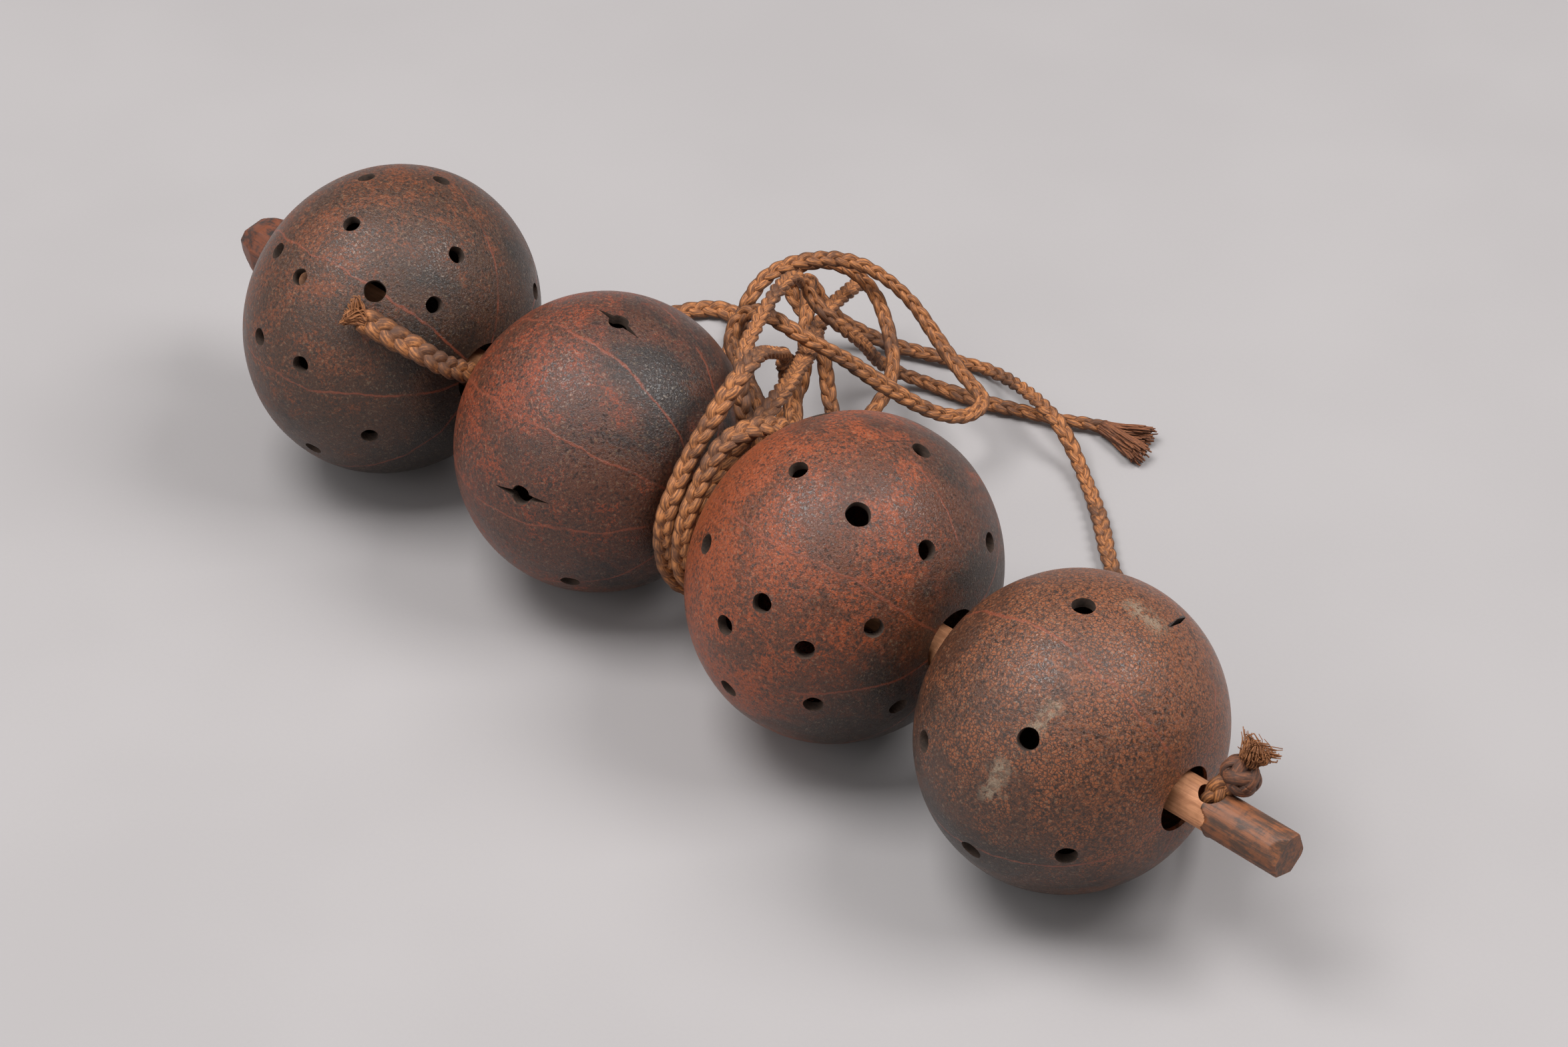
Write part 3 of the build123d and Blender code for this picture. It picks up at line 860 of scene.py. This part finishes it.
    def cutter(self, material: bpy.types.Material) -> bpy.types.Object:
        """The two cross holes for the ties: one straight down, one tilted."""
        angle = np.linspace(0, TURN, self.HOLE_POINTS, endpoint=False)
        outline = np.stack([np.cos(angle), np.sin(angle)], -1) * self.hole_radius * MM
        tilt = math.radians(self.far_tilt)
        axes = np.array([(0, 0, 1.0), (0, -math.sin(tilt), math.cos(tilt))])
        along = np.tile((1.0, 0, 0), (2, 1))
        frames = np.stack([along, np.cross(axes, along), axes], 1)
        origins = np.array([(self.near_hole, 0, self.height), (self.far_hole, 0, self.height)]) * MM
        depth = 9 * MM
        edge = 3.4 * MM
        profile = np.array([(-depth, 1.3), (-edge, 1.0), (edge, 1.0), (depth, 1.3)])
        return prisms("cross_holes", np.stack([outline] * 2), origins, frames, profile, material)


def spline_points(name: str, points: np.ndarray, spacing: float) -> np.ndarray:
    """Evenly spaced points on the smooth spline of a route.

    Args:
        name: name of the passing curve.
        points: control points, in metres.
        spacing: distance between the points returned.

    Returns:
        Points along the spline.
    """
    curve = bpy.data.curves.new(name, "CURVE")
    curve.dimensions = "3D"
    curve.resolution_u = 24
    spline = curve.splines.new("NURBS")
    spline.points.add(len(points) - 1)
    spline.points.foreach_set("co", np.concatenate([points, np.ones((len(points), 1))], 1).ravel())
    spline.order_u = 3
    spline.use_endpoint_u = True
    holder = bpy.data.objects.new(name, curve)
    bpy.context.scene.collection.objects.link(holder)
    mesh = bpy.data.meshes.new_from_object(holder)
    line = np.empty(len(mesh.vertices) * 3)
    mesh.vertices.foreach_get("co", line)
    line = line.reshape(-1, 3)
    bpy.data.objects.remove(holder)
    bpy.data.curves.remove(curve)
    bpy.data.meshes.remove(mesh)
    travelled = np.concatenate([[0], np.cumsum(np.linalg.norm(np.diff(line, axis=0), axis=1))])
    marks = np.linspace(0, travelled[-1], max(2, round(travelled[-1] / spacing)))
    return np.stack([np.interp(marks, travelled, line[:, axis]) for axis in range(3)], -1)


def tubes(
    centres: np.ndarray, upward: np.ndarray, half_width: np.ndarray, half_height: np.ndarray, sides: int,
    ridges: float = 0.0, ridge_count: int = 6,
) -> tuple[np.ndarray, np.ndarray, np.ndarray]:
    """Many tubes at once: an ellipse carried along each line of centres.

    Args:
        centres: (count, stations, 3) lines, in metres.
        upward: (count, stations, 3) direction of each section's height.
        half_width: half widths, broadcast to (count, stations).
        half_height: half heights, likewise.
        sides: points round a section.
        ridges: depth of fine ridges as a share of the radius.
        ridge_count: ridges round a section.

    Returns:
        Vertices, faces and map positions (turn, distance along in mm).
    """
    count, stations, _ = centres.shape
    tangent = unit(np.gradient(centres, axis=1))
    up = unit(upward - np.sum(upward * tangent, -1, keepdims=True) * tangent)
    side = np.cross(tangent, up)
    angle = np.linspace(0, TURN, sides, endpoint=False)
    swell = 1 + ridges * np.cos(ridge_count * angle)
    width = np.broadcast_to(half_width, (count, stations))[..., None, None]
    height = np.broadcast_to(half_height, (count, stations))[..., None, None]
    section = (swell * np.cos(angle))[:, None] * side[:, :, None] * width
    section = section + (swell * np.sin(angle))[:, None] * up[:, :, None] * height
    points = centres[:, :, None] + section
    first = np.arange(count)[:, None, None] * stations * sides
    faces = (grid_faces(stations, sides, False, True)[None, :, ::-1] + first).reshape(-1, 4).tolist()
    ring = np.arange(sides)
    faces += (first[:, 0] + ring).tolist()
    faces += (first[:, 0] + (stations - 1) * sides + ring[::-1]).tolist()
    steps = np.linalg.norm(np.diff(centres, axis=1, prepend=centres[:, :1]), axis=-1)
    along = np.cumsum(steps, axis=1) / MM
    map_u = np.broadcast_to(angle / TURN, (count, stations, sides)) + np.arange(count)[:, None, None]
    map_v = np.broadcast_to(along[..., None], (count, stations, sides))
    return points, faces, np.stack([map_u, map_v], -1)


STRAND_SIDES = 12
STRAND_RIDGES = (0.08, 4)  # depth as a share of the radius, number round a strand


@dataclass
class PlaitedTie:
    """A flat plait of three strands along a given route."""

    name: str
    node: str
    points: tuple[tuple[float, float, float], ...]
    length: float  # metres
    exit: tuple[float, float, float]  # mm
    far_end: str
    diameter: float = 3.2
    pitch: float = 9.4  # one strand from side to side and back
    sway: float = 0.92
    weave: float = 0.42
    strand_width: float = 1.06
    strand_height: float = 0.66
    widths: tuple[tuple[float, float], ...] = ((0.0, 1.0), (1.0, 1.0))  # share of the length, of the width
    spacing: float = 0.42
    facing: tuple[float, float, float] = (0.35, -0.45, 0.82)
    line: np.ndarray = field(default_factory=lambda: np.zeros((0, 3)))

    STRANDS = 3
    EDGE_HOLD = 0.5  # the smaller, the longer a strand keeps to the edge
    SMOOTHING = 30  # points on either side over which the plait's facing is evened out
    TABLE_GAP = 0.05 * MM

    def build(self, shelf: FinishShelf) -> bpy.types.Object:
        """Make the plait and set it on its body.

        Strand k swings across the plait with the sine of its phase, held longer at the edges, and is at
        weave * sin(2 * phase) through it; the phase grows by a turn each pitch and differs by a third of a
        turn between strands.

        Args:
            shelf: shared materials.

        Returns:
            The plait.
        """
        line = spline_points(self.name, np.array(self.points) * MM, self.spacing * MM)
        tangent = unit(np.gradient(line, axis=0))
        across = np.cross(np.array(self.facing), tangent)
        window = np.hanning(2 * self.SMOOTHING + 1)
        padded = np.pad(across, ((self.SMOOTHING,) * 2, (0, 0)), mode="edge")
        smooth = np.stack([np.convolve(padded[:, axis], window, "valid") for axis in range(3)], -1)
        across = unit(smooth - np.sum(smooth * tangent, -1, keepdims=True) * tangent)
        through = np.cross(tangent, across)
        travelled = np.arange(len(line)) * self.spacing
        phase = TURN * (travelled[None] / self.pitch + np.arange(self.STRANDS)[:, None] / self.STRANDS)
        loose = 1 + 0.06 * np.sin(travelled / 17.0) + 0.05 * np.sin(travelled / 6.3 + 1)
        loose = loose * np.interp(travelled / travelled[-1], *np.array(self.widths).T)
        swing = np.sin(phase) * np.sqrt((1 + self.EDGE_HOLD) / (np.sin(phase) ** 2 + self.EDGE_HOLD))
        centres = line + (
            (self.sway * loose * swing)[..., None] * across
            + (self.weave * np.sin(2 * phase))[..., None] * through
        ) * MM
        wide = self.strand_width * loose * (1 + 0.08 * np.sin(phase * 0.37)) * MM
        upward = np.broadcast_to(through, centres.shape)
        thick = self.strand_height * MM
        points, faces, uv = tubes(centres, upward, wide, thick, STRAND_SIDES, *STRAND_RIDGES)
        points[..., 2] = np.maximum(points[..., 2], self.TABLE_GAP)
        piece = mesh_object(self.name, points, faces, [shelf.get(Finishes.PLAIT)], uv)
        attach(piece, "stick")
        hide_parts(self.node)
        self.line = line
        return piece

    def declare(self, piece: bpy.types.Object, ends: Sequence[bpy.types.Object]) -> None:
        """Does nothing: the tie's length and thickness and the pieces on it are not stated."""


@dataclass
class FibreBrush:
    """A frayed end: many loose fibres that leave one root and spread."""

    name: str
    node: str
    root: tuple[float, float, float]
    direction: tuple[float, float, float]
    count: int
    length: float
    spread: float  # sideways reach at the ends, mm
    curl: float
    flatten: float = 1.0  # share of the spread that is kept across the table
    root_radius: float = 1.3
    thickness: float = 0.13
    locks: tuple[tuple[float, float], ...] = ((0.0, 1.0),)  # lean to the right in mm, share of the length
    finish: Finishes = Finishes.FRAY
    waves: tuple[float, float] = (3.0, 8.0)  # least and most radians of curl along a fibre
    seed: int = 1

    STATIONS = 13
    SIDES = 5

    def build(self, shelf: FinishShelf) -> bpy.types.Object:
        """Make the brush and set it on its body.

        Each fibre starts in a disc at the root, fans out towards its end, leans with its lock and curls in
        a slow wave of its own.

        Args:
            shelf: shared materials.

        Returns:
            The brush.
        """
        rng = np.random.default_rng(self.seed)
        forward = unit(np.array(self.direction))
        across = unit(np.cross(forward, (0, 0, 1.0)))
        over = np.cross(across, forward)
        turn = rng.uniform(0, TURN, self.count)
        disc = np.sqrt(rng.uniform(0, 1, self.count))
        along = np.linspace(0, 1, self.STATIONS)[None]
        lean, share = np.array(self.locks)[np.arange(self.count) % len(self.locks)].T[..., None]
        reach = self.length * share * rng.uniform(0.78, 1.05, (self.count, 1))
        radial = disc[:, None] * (self.root_radius + (self.spread - self.root_radius) * along**1.5)
        wave = self.curl * along * np.sin(
            along * rng.uniform(*self.waves, (self.count, 1)) + rng.uniform(0, TURN, (self.count, 1))
        )
        sideways = radial * np.cos(turn)[:, None] + wave + lean * along**1.2
        upwards = self.flatten * radial * np.sin(turn)[:, None] + wave * np.sin(turn)[:, None]
        centres = np.array(self.root) + (
            (reach * along)[..., None] * forward + sideways[..., None] * across + upwards[..., None] * over
        )
        centres[..., 2] = np.maximum(centres[..., 2], 2 * self.thickness)
        thin = self.thickness * (1 - 0.45 * along) * rng.uniform(0.7, 1.4, (self.count, 1))
        upward = np.broadcast_to(over + 0.3 * across, centres.shape)
        points, faces, uv = tubes(centres * MM, upward, thin * MM * 1.4, thin * MM, self.SIDES)
        piece = mesh_object(self.name, points, faces, [shelf.get(self.finish)], uv)
        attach(piece, "stick")
        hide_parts(self.node)
        return piece


@dataclass
class WoundKnot:
    """A knot: plait strands wound over and under round a small ball."""

    name: str
    node: str
    middle: tuple[float, float, float]
    axis: tuple[float, float, float]
    radius: float
    half_length: float
    passes: int = 5
    lobes: int = 3
    strand: float = 0.95

    STATIONS = 420
    TOP_LATITUDE = math.radians(58)
    CORE_INSET = 0.62  # share of the strand's half width by which its line lies inside the knot
    CORE_SHARE = 0.97
    CORE_GRID = (14, 28)  # rows, columns
    CORE_POLE = 0.08  # radians left flat at each pole

    def build(self, shelf: FinishShelf) -> bpy.types.Object:
        """Make the knot and set it on its body.

        The strand's longitude grows by the number of lobes while its latitude swings with the number of
        passes, and it rises and dips so that crossings pass over each other; a smooth core fills the
        middle.

        Args:
            shelf: shared materials.

        Returns:
            The knot.
        """
        forward = unit(np.array(self.axis))
        across = unit(np.cross(forward, (0, 0, 1.0)))
        over = np.cross(across, forward)
        turn = np.linspace(0, TURN, self.STATIONS)
        longitude = self.lobes * turn
        latitude = self.TOP_LATITUDE * np.sin(self.passes * turn)
        lift = 1 + 0.07 * np.sin(2 * self.passes * turn + 0.6)
        inset = self.strand * self.CORE_INSET
        core_radius, core_half = self.radius - inset, self.half_length - inset
        outward = (
            (np.cos(latitude) * np.cos(longitude))[:, None] * across
            + (np.cos(latitude) * np.sin(longitude))[:, None] * over
        )
        shape = core_radius * outward + (core_half * np.sin(latitude))[:, None] * forward
        centres = np.array(self.middle) + shape * lift[:, None]
        wide, thick = self.strand * MM, self.strand * 0.55 * MM
        points, faces, uv = tubes(
            centres[None] * MM, unit(shape)[None], wide, thick, STRAND_SIDES, *STRAND_RIDGES,
        )
        rows, columns = self.CORE_GRID
        polar = np.linspace(self.CORE_POLE, math.pi - self.CORE_POLE, rows)[:, None, None]
        round_turn = np.linspace(0, TURN, columns, endpoint=False)[None, :, None]
        core = np.array(self.middle) + self.CORE_SHARE * (
            core_radius * np.sin(polar) * (np.cos(round_turn) * across + np.sin(round_turn) * over)
            + core_half * np.cos(polar) * forward
        )
        first = points.size // 3
        core_faces = (grid_faces(rows, columns, False, True)[:, ::-1] + first).tolist()
        core_faces += [(first + np.arange(columns)).tolist()]
        core_faces += [(first + (rows - 1) * columns + np.arange(columns)[::-1]).tolist()]
        core_uv = np.stack(np.broadcast_arrays(round_turn[..., 0], 4 * polar[..., 0]), -1)
        points = np.concatenate([points.reshape(-1, 3), core.reshape(-1, 3) * MM])
        uv = np.concatenate([uv.reshape(-1, 2), core_uv.reshape(-1, 2)])
        piece = mesh_object(self.name, points, faces + core_faces, [shelf.get(Finishes.KNOTTED)], uv)
        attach(piece, "stick")
        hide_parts(self.node)
        return piece


@dataclass
class Studio:
    """Pale table, soft lamps and the camera at the photograph's place."""

    camera_place: tuple[float, float, float] = (0.39534, -0.41071, 0.504)
    right: tuple[float, float, float] = (0.7336, 0.6796, 0.0)
    forward: tuple[float, float, float] = (-0.5217, 0.5632, -0.6409)
    focal_pixels: float = 6000.0
    image_width: float = 2349.0
    sensor: float = 36.0

    WORLD_STRENGTH = 0.3
    TABLE_HALF = 2.5
    CLOUDS = Grain(9, 3)
    SAND = Grain(1400, 2)

    def build(self) -> None:
        """Make the table, the lamps, the world and the camera."""
        self.table()
        self.lamp("left_softbox", (-0.29, -0.28, 1.13), 0.65, 13.2)
        self.lamp("right_softbox", (0.55, 0.46, 0.96), 0.6, 10.8)
        self.lamp("front_panel", (-0.3, -1.4, 0.8), 1.8, 10.0)
        world = bpy.data.worlds.new("room")
        bpy.context.scene.world = world
        world.use_nodes = True
        backdrop = world.node_tree.nodes["Background"]
        backdrop.inputs["Color"].default_value = (*tint(232, 230, 230), 1)
        backdrop.inputs["Strength"].default_value = self.WORLD_STRENGTH
        bpy.context.scene.view_settings.view_transform = "Standard"
        self.camera()

    def table(self) -> None:
        """Pale grey sheet under the object, with a faint unevenness."""
        half = self.TABLE_HALF
        corners = np.array([(-half, -half, 0), (half, -half, 0), (half, half, 0), (-half, half, 0)])
        paint = Paint("pale_table")
        cloud = paint.noise(paint.place(), self.CLOUDS)
        sand = paint.noise(paint.place(), self.SAND)
        share = paint.step(cloud + sand * 0.15, 0.4, 0.75)
        colour = paint.mix(share, tint(156, 152, 152), tint(160, 156, 156))
        sheet = mesh_object("table", corners, np.array([(0, 1, 2, 3)]), [paint.finish(colour, 0.8)])

    def lamp(self, name: str, place: tuple[float, float, float], size: float, power: float) -> None:
        """Square soft lamp aimed at the rattle.

        Args:
            name: its name.
            place: where it stands, in metres.
            size: side, in metres.
            power: watts.
        """
        data = bpy.data.lights.new(name, "AREA")
        data.size = size
        data.energy = power
        made = bpy.data.objects.new(name, data)
        made.location = place
        made.rotation_euler = (Vector((0, 0, 0.03)) - Vector(place)).to_track_quat("-Z", "Y").to_euler()
        bpy.context.scene.collection.objects.link(made)

    def camera(self) -> None:
        """Camera whose axes are the photograph's, with its focal length in pixels."""
        data = bpy.data.cameras.new("photo_camera")
        data.sensor_width = self.sensor
        data.lens = self.sensor * self.focal_pixels / self.image_width
        data.clip_start = 0.01
        made = bpy.data.objects.new("photo_camera", data)
        right, forward = Vector(self.right).normalized(), Vector(self.forward).normalized()
        up = right.cross(forward).normalized()
        axes = Matrix((right, up, -forward)).transposed().to_4x4()
        made.matrix_world = Matrix.Translation(self.camera_place) @ axes
        bpy.context.scene.collection.objects.link(made)
        bpy.context.scene.camera = made


SCUFF = tint(137, 119, 99)
CRACK = tint(36, 27, 22)

SHELLS = (
    FruitShell(
        1, girth_radius=31.0, half_length=27.0, flat_distance=25.5, hole_diameter=3.3,
        holes=(
            (104, 87), (84, 66), (86, 109), (49, 85), (91, 135), (112, 131), (39, 112), (102, 163),
            (77, 164), (50, -164), (79, -153), (42, 17), (118, 40), (80, 20), (100, -40), (60, -75),
        ),
        wide_diameter=4.2, wide_holes=((60, 125),),
        finish=ShellFinish(
            "first_fruit", tint(71, 44, 29), tint(36, 30, 26), tint(120, 62, 31), 0.5, 0.5, 0.35,
            (0.6, 0.1, -0.5), (63, 125, 172, -140, -92, -40, 15),
        ),
    ),
    FruitShell(
        2, girth_radius=29.0, half_length=27.4, flat_distance=25.5, hole_diameter=3.6,
        holes=((63, -147), (96, -20)), wide_diameter=3.8, wide_holes=((84, 85), (77, 166)),
        splits=((84, 85, 11.0, 0), (77, 166, 12.0, 4)),
        finish=ShellFinish(
            "second_fruit", tint(84, 48, 33), tint(34, 29, 27), tint(140, 62, 31), 0.5, 0.49, 0.4,
            (0.9, 0.2, -0.2), (60, 100, 138, 177, -145, -105, -60, -20, 20),
        ),
    ),
    FruitShell(
        3, girth_radius=31.0, half_length=27.5, flat_distance=25.8, hole_diameter=3.6,
        holes=(
            (96, 108), (73, 68), (40, 96), (37, 40), (117, 147), (80, 153), (93, 167), (39, 146), (60, 164),
            (92, -165), (56, -169), (29, -144), (119, 73), (72, 10), (104, -35), (62, -70),
        ),
        wide_diameter=4.5, wide_holes=((66, 109),),
        finish=ShellFinish(
            "third_fruit", tint(90, 48, 28), tint(40, 33, 28), tint(150, 69, 30), 0.51, 0.47, 0.35,
            (0.9, 0.4, -0.1), (75, 132, -175, -125, -75, -25, 25),
            marks=(Mark((34.4, 12.6, 59.0), (32.6, 7.4, 61.0), 0.2, CRACK, 0.1),),
        ),
    ),
    FruitShell(
        4, girth_radius=29.0, half_length=26.8, flat_distance=25.2, hole_diameter=3.9,
        holes=((74, 141), (119, 166), (88, -163), (50, -172), (100, -15)),
        wide_diameter=4.1, wide_holes=((89, 89),),
        splits=((67, 57, 8.4, -75),), split_width=0.9,
        finish=ShellFinish(
            "fourth_fruit", tint(76, 46, 31), tint(38, 30, 25), tint(136, 76, 42), 0.52, 0.45, 0.8,
            (-0.6, -0.4, -0.5), (47, 107, -165, -110, -60, -10),
            marks=(
                Mark((92.4, -17.1, 50.9), (90.9, -22.7, 46.2), 2.0, SCUFF, 0.85),
                Mark((89.0, -26.3, 41.3), (88.1, -28.4, 36.0), 2.4, SCUFF, 0.75),
                Mark((89.8, 7.0, 56.2), (93.8, 7.8, 54.4), 3.4, SCUFF, 0.95),
                Mark((94.9, 10.3, 53.0), (93.0, 17.4, 49.6), 0.45, CRACK, 0.1),
                Mark((94.9, 15.5, 50.0), (99.4, 13.0, 48.2), 0.22, CRACK, 0.2),
            ),
        ),
    ),
)

FAR_TIE = PlaitedTie(
    "far_tie", "far_cord",
    (
        (-73, -22, 50.5), (-70, -20, 48.5), (-66.5, -17.5, 45.5), (-63.5, -15.5, 43.5), (-61, -12, 39.5),
        (-60.5, -2, 31.5), (-61, 8, 22.5), (-62, 17.5, 15.5), (-66, 28, 8.5), (-71.5, 39, 3.5),
        (-77, 50, 2), (-78.5, 61, 2), (-74.5, 69, 2), (-70.5, 73, 2), (-65.5, 73.5, 2),
        (-61.5, 67.5, 2), (-57, 60, 2), (-48, 46, 2), (-37, 36.5, 2), (-25.5, 29, 2.5),
        (-16.5, 22.5, 5), (-9.5, 18.5, 11.5), (-7, 16, 20.5), (-6, 15, 30), (-6.5, 13, 39.5),
        (-9, 13.5, 47), (-15, 21, 49), (-20.5, 31, 47.5), (-24.5, 39, 46.5), (-27.5, 45.5, 45),
        (-30.5, 51.5, 42), (-33, 57, 37), (-32, 58, 33), (-26.5, 56.5, 32), (-24.5, 60, 27.5),
        (-25.5, 67, 19.5), (-27.5, 73, 11), (-27, 78, 5.5), (-25, 82, 2.5), (-20.5, 84, 1.5),
        (-13.5, 85, 2), (-7.5, 87, 2), (-1.5, 89.5, 2), (4, 91.5, 2), (9, 94.5, 2),
        (13.5, 96.5, 2),
    ),
    length=0.386, exit=(-61, -8, 36), far_end="bare",
    widths=((0, 1.18), (0.1, 1.1), (0.2, 0.9), (0.6, 0.8), (1, 0.68)),
)

NEAR_TIE = PlaitedTie(
    "near_tie", "near_cord",
    (
        (116, 3.5, 35.6), (114, -0.2, 34.3), (114, 0.3, 24.8), (113, 4.5, 20.5), (108, 12.5, 14),
        (99.5, 21.5, 7.5), (87, 32.5, 2.5), (71, 45, 2), (55, 54.5, 2), (39.5, 65.5, 2),
        (32, 73, 2), (24, 79, 2), (16, 84.5, 3), (10, 86, 7.5), (0, 90, 6.5),
        (-11.5, 95, 2.5), (-19, 95, 1.5), (-24.5, 92, 2), (-31, 89.5, 2), (-37, 87, 2.5),
        (-41, 84.5, 4.5), (-44.5, 82, 7), (-47.5, 80, 10.5), (-50, 79.5, 14), (-49.5, 77, 18),
        (-46, 73, 21.5), (-40.5, 67, 24), (-36.5, 62, 23.5), (-34, 59, 20.5), (-33, 58, 16),
        (-32, 56, 11.5), (-32.5, 52.5, 7), (-32.5, 45, 3), (-27.5, 37, 2), (-18, 36, 2),
        (-13.5, 44.5, 2), (-18, 54, 4), (-27, 58.5, 8.5), (-30, 61, 12.5), (-33.5, 63.5, 15.5),
        (-39.5, 67, 16.5), (-45.5, 69.5, 17.5), (-49.5, 70.5, 20.5), (-48.5, 72, 25), (-43, 74, 27.5),
        (-39, 76, 27), (-35, 77.5, 25), (-31.5, 77.5, 22.5), (-28, 76, 20), (-24, 73.5, 17.5),
        (-20, 70, 15.5), (-17.5, 65.5, 13), (-16.5, 60, 11), (-16, 53.5, 9.5), (-17.5, 46.5, 8.5),
        (-22.5, 43, 8.5), (-29, 43, 9.5), (-35.5, 45, 12), (-40.5, 48.5, 15), (-43.5, 50, 19.5),
        (-43.5, 50.5, 25), (-43, 52, 29.5), (-43.5, 56.5, 32), (-42, 61.5, 33.5), (-39.5, 67, 33.5),
        (-36.5, 72.5, 32), (-33, 76.5, 29.5), (-29, 79, 26.5), (-25, 80.5, 23), (-21, 80.5, 20),
        (-16.5, 80, 17), (-11.5, 79, 14.5), (-7, 78.5, 12.5), (-2.5, 77.5, 12), (0, 73, 12.5),
        (0.5, 66, 15), (-2, 60.5, 18.5), (-5.5, 56, 23), (-8.5, 51.5, 28), (-12, 47.5, 33),
        (-14.5, 42.5, 38), (-18.5, 39.5, 41), (-23, 38.5, 42.5), (-28.5, 39.5, 41.5), (-32.5, 38.5, 38.5),
        (-31.5, 34.5, 35.5), (-25.5, 31, 33.5), (-17, 27, 33), (-9.5, 22.5, 31), (-3, 19, 26),
        (-2.5, 13.5, 18), (-4, 4, 11.5), (-4, -5.5, 13), (-4.5, -10.5, 20), (-4.5, -12, 28),
        (-4.5, -11, 34.5), (-4.5, -8.5, 38.5), (-5, -5, 42.5), (-4.5, -0.5, 48), (-4, 3.5, 52),
        (-4, 8, 55.5), (-5.5, 13.5, 56), (-8, 18.5, 53.5), (-11, 24, 49), (-14.5, 30, 43.5),
        (-19, 36, 38), (-22, 40.5, 31), (-21, 41, 25.5), (-16.5, 36.5, 22.5), (-10, 30, 21.5),
        (-3, 22.5, 19), (0.5, 14.5, 15), (1, 5.5, 12.5), (0.5, -3.5, 14), (-0.5, -10.5, 20.5),
        (-0.5, -11.5, 28), (-0.5, -10, 34.5), (-0.5, -7, 39.5), (-0.5, -4, 43.5), (-0.5, -0.5, 46.5),
        (0.5, 4.5, 48), (2, 11, 46.5), (2.5, 17, 40.5), (2.5, 19.5, 32), (2.5, 17, 24.5),
        (2, 10.5, 19), (1, 2, 17.5), (0, -5.5, 20), (-1, -7.5, 27), (-1.5, -6, 33.5),
        (-2.5, -1.5, 37), (-2.5, 3.5, 40), (-2.5, 8, 42.5), (-2.5, 12.5, 44.5), (-4, 19, 45),
        (-9.5, 29, 41.5), (-18.5, 42.5, 34), (-28, 55.5, 27.5), (-35, 67, 23.5), (-38.5, 75.5, 20.5),
        (-41.5, 83, 17.5),
    ),
    length=1.046, exit=(114, 0, 33), far_end="knot",
    widths=((0, 1.0), (0.05, 0.85), (0.15, 0.74), (0.55, 0.76), (0.66, 0.95), (0.9, 0.95), (1, 0.85)),
)

STUB = FibreBrush(
    "stub_brush", "stub_fray", (-72.4, -21.6, 50.0), (-0.78, -0.49, 0.45), 90, 4.2, 2.9, 1.3,
    thickness=0.2, seed=4,
)
TASSEL = FibreBrush(
    "tassel_brush", "tassel", (13.0, 96.3, 2.0), (0.99, 0.1, 0.02), 240, 11.4, 1.9, 0.6,
    flatten=0.9, thickness=0.22, locks=((-3.2, 0.86), (2.9, 1.04)), finish=Finishes.BRUSH, seed=5,
)
TUFT = FibreBrush(
    "knot_tuft", "tuft", (116.7, 4.9, 37.4), (0.15, 0.35, 0.93), 150, 5.4, 3.2, 1.5,
    waves=(5.0, 11.0), seed=6,
)
KNOT = WoundKnot("stopper", "stopper_knot", (116.5, 4.3, 36.0), (2, 3.7, 1.3), 3.75, 3.6, strand=1.2)
FREE_KNOT = WoundKnot("free_knot", "free_end", (-42.2, 84.7, 16.8), (-3, 7.5, -3), 1.95, 2.0, strand=0.6)


def dress_seeds(nodes: dict[str, bpy.types.Object], shelf: FinishShelf) -> None:
    """Give the seeds inside the shells their finish.

    Args:
        nodes: CAD objects by name.
        shelf: shared materials.
    """
    for name, node in nodes.items():
        if name.startswith("seed_"):
            node.data.materials.clear()
            node.data.materials.append(shelf.get(Finishes.KERNEL))


def main() -> None:
    """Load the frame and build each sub-assembly in turn."""
    logging.basicConfig(level=logging.INFO)
    for stray in list(bpy.data.objects):
        bpy.data.objects.remove(stray)
    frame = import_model()
    shelf = FinishShelf()
    Studio().build()
    far_ends = [STUB.build(shelf), TASSEL.build(shelf)]
    near_ends = [KNOT.build(shelf), TUFT.build(shelf), FREE_KNOT.build(shelf)]
    for tie, ends in ((FAR_TIE, far_ends), (NEAR_TIE, near_ends)):
        tie.declare(tie.build(shelf), ends)
        LOG.info("tie %s: %d points", tie.name, len(tie.line))
    for shell in SHELLS:
        piece = shell.build(frame["joints"], shelf)
        LOG.info("shell %s: %d faces", piece.name, len(piece.data.polygons))
    stick = WhittledStick().build(shelf)
    LOG.info("stick %s: %d faces", stick.name, len(stick.data.polygons))
    dress_seeds(frame["nodes"], shelf)


if __name__ == "__main__":
    main()
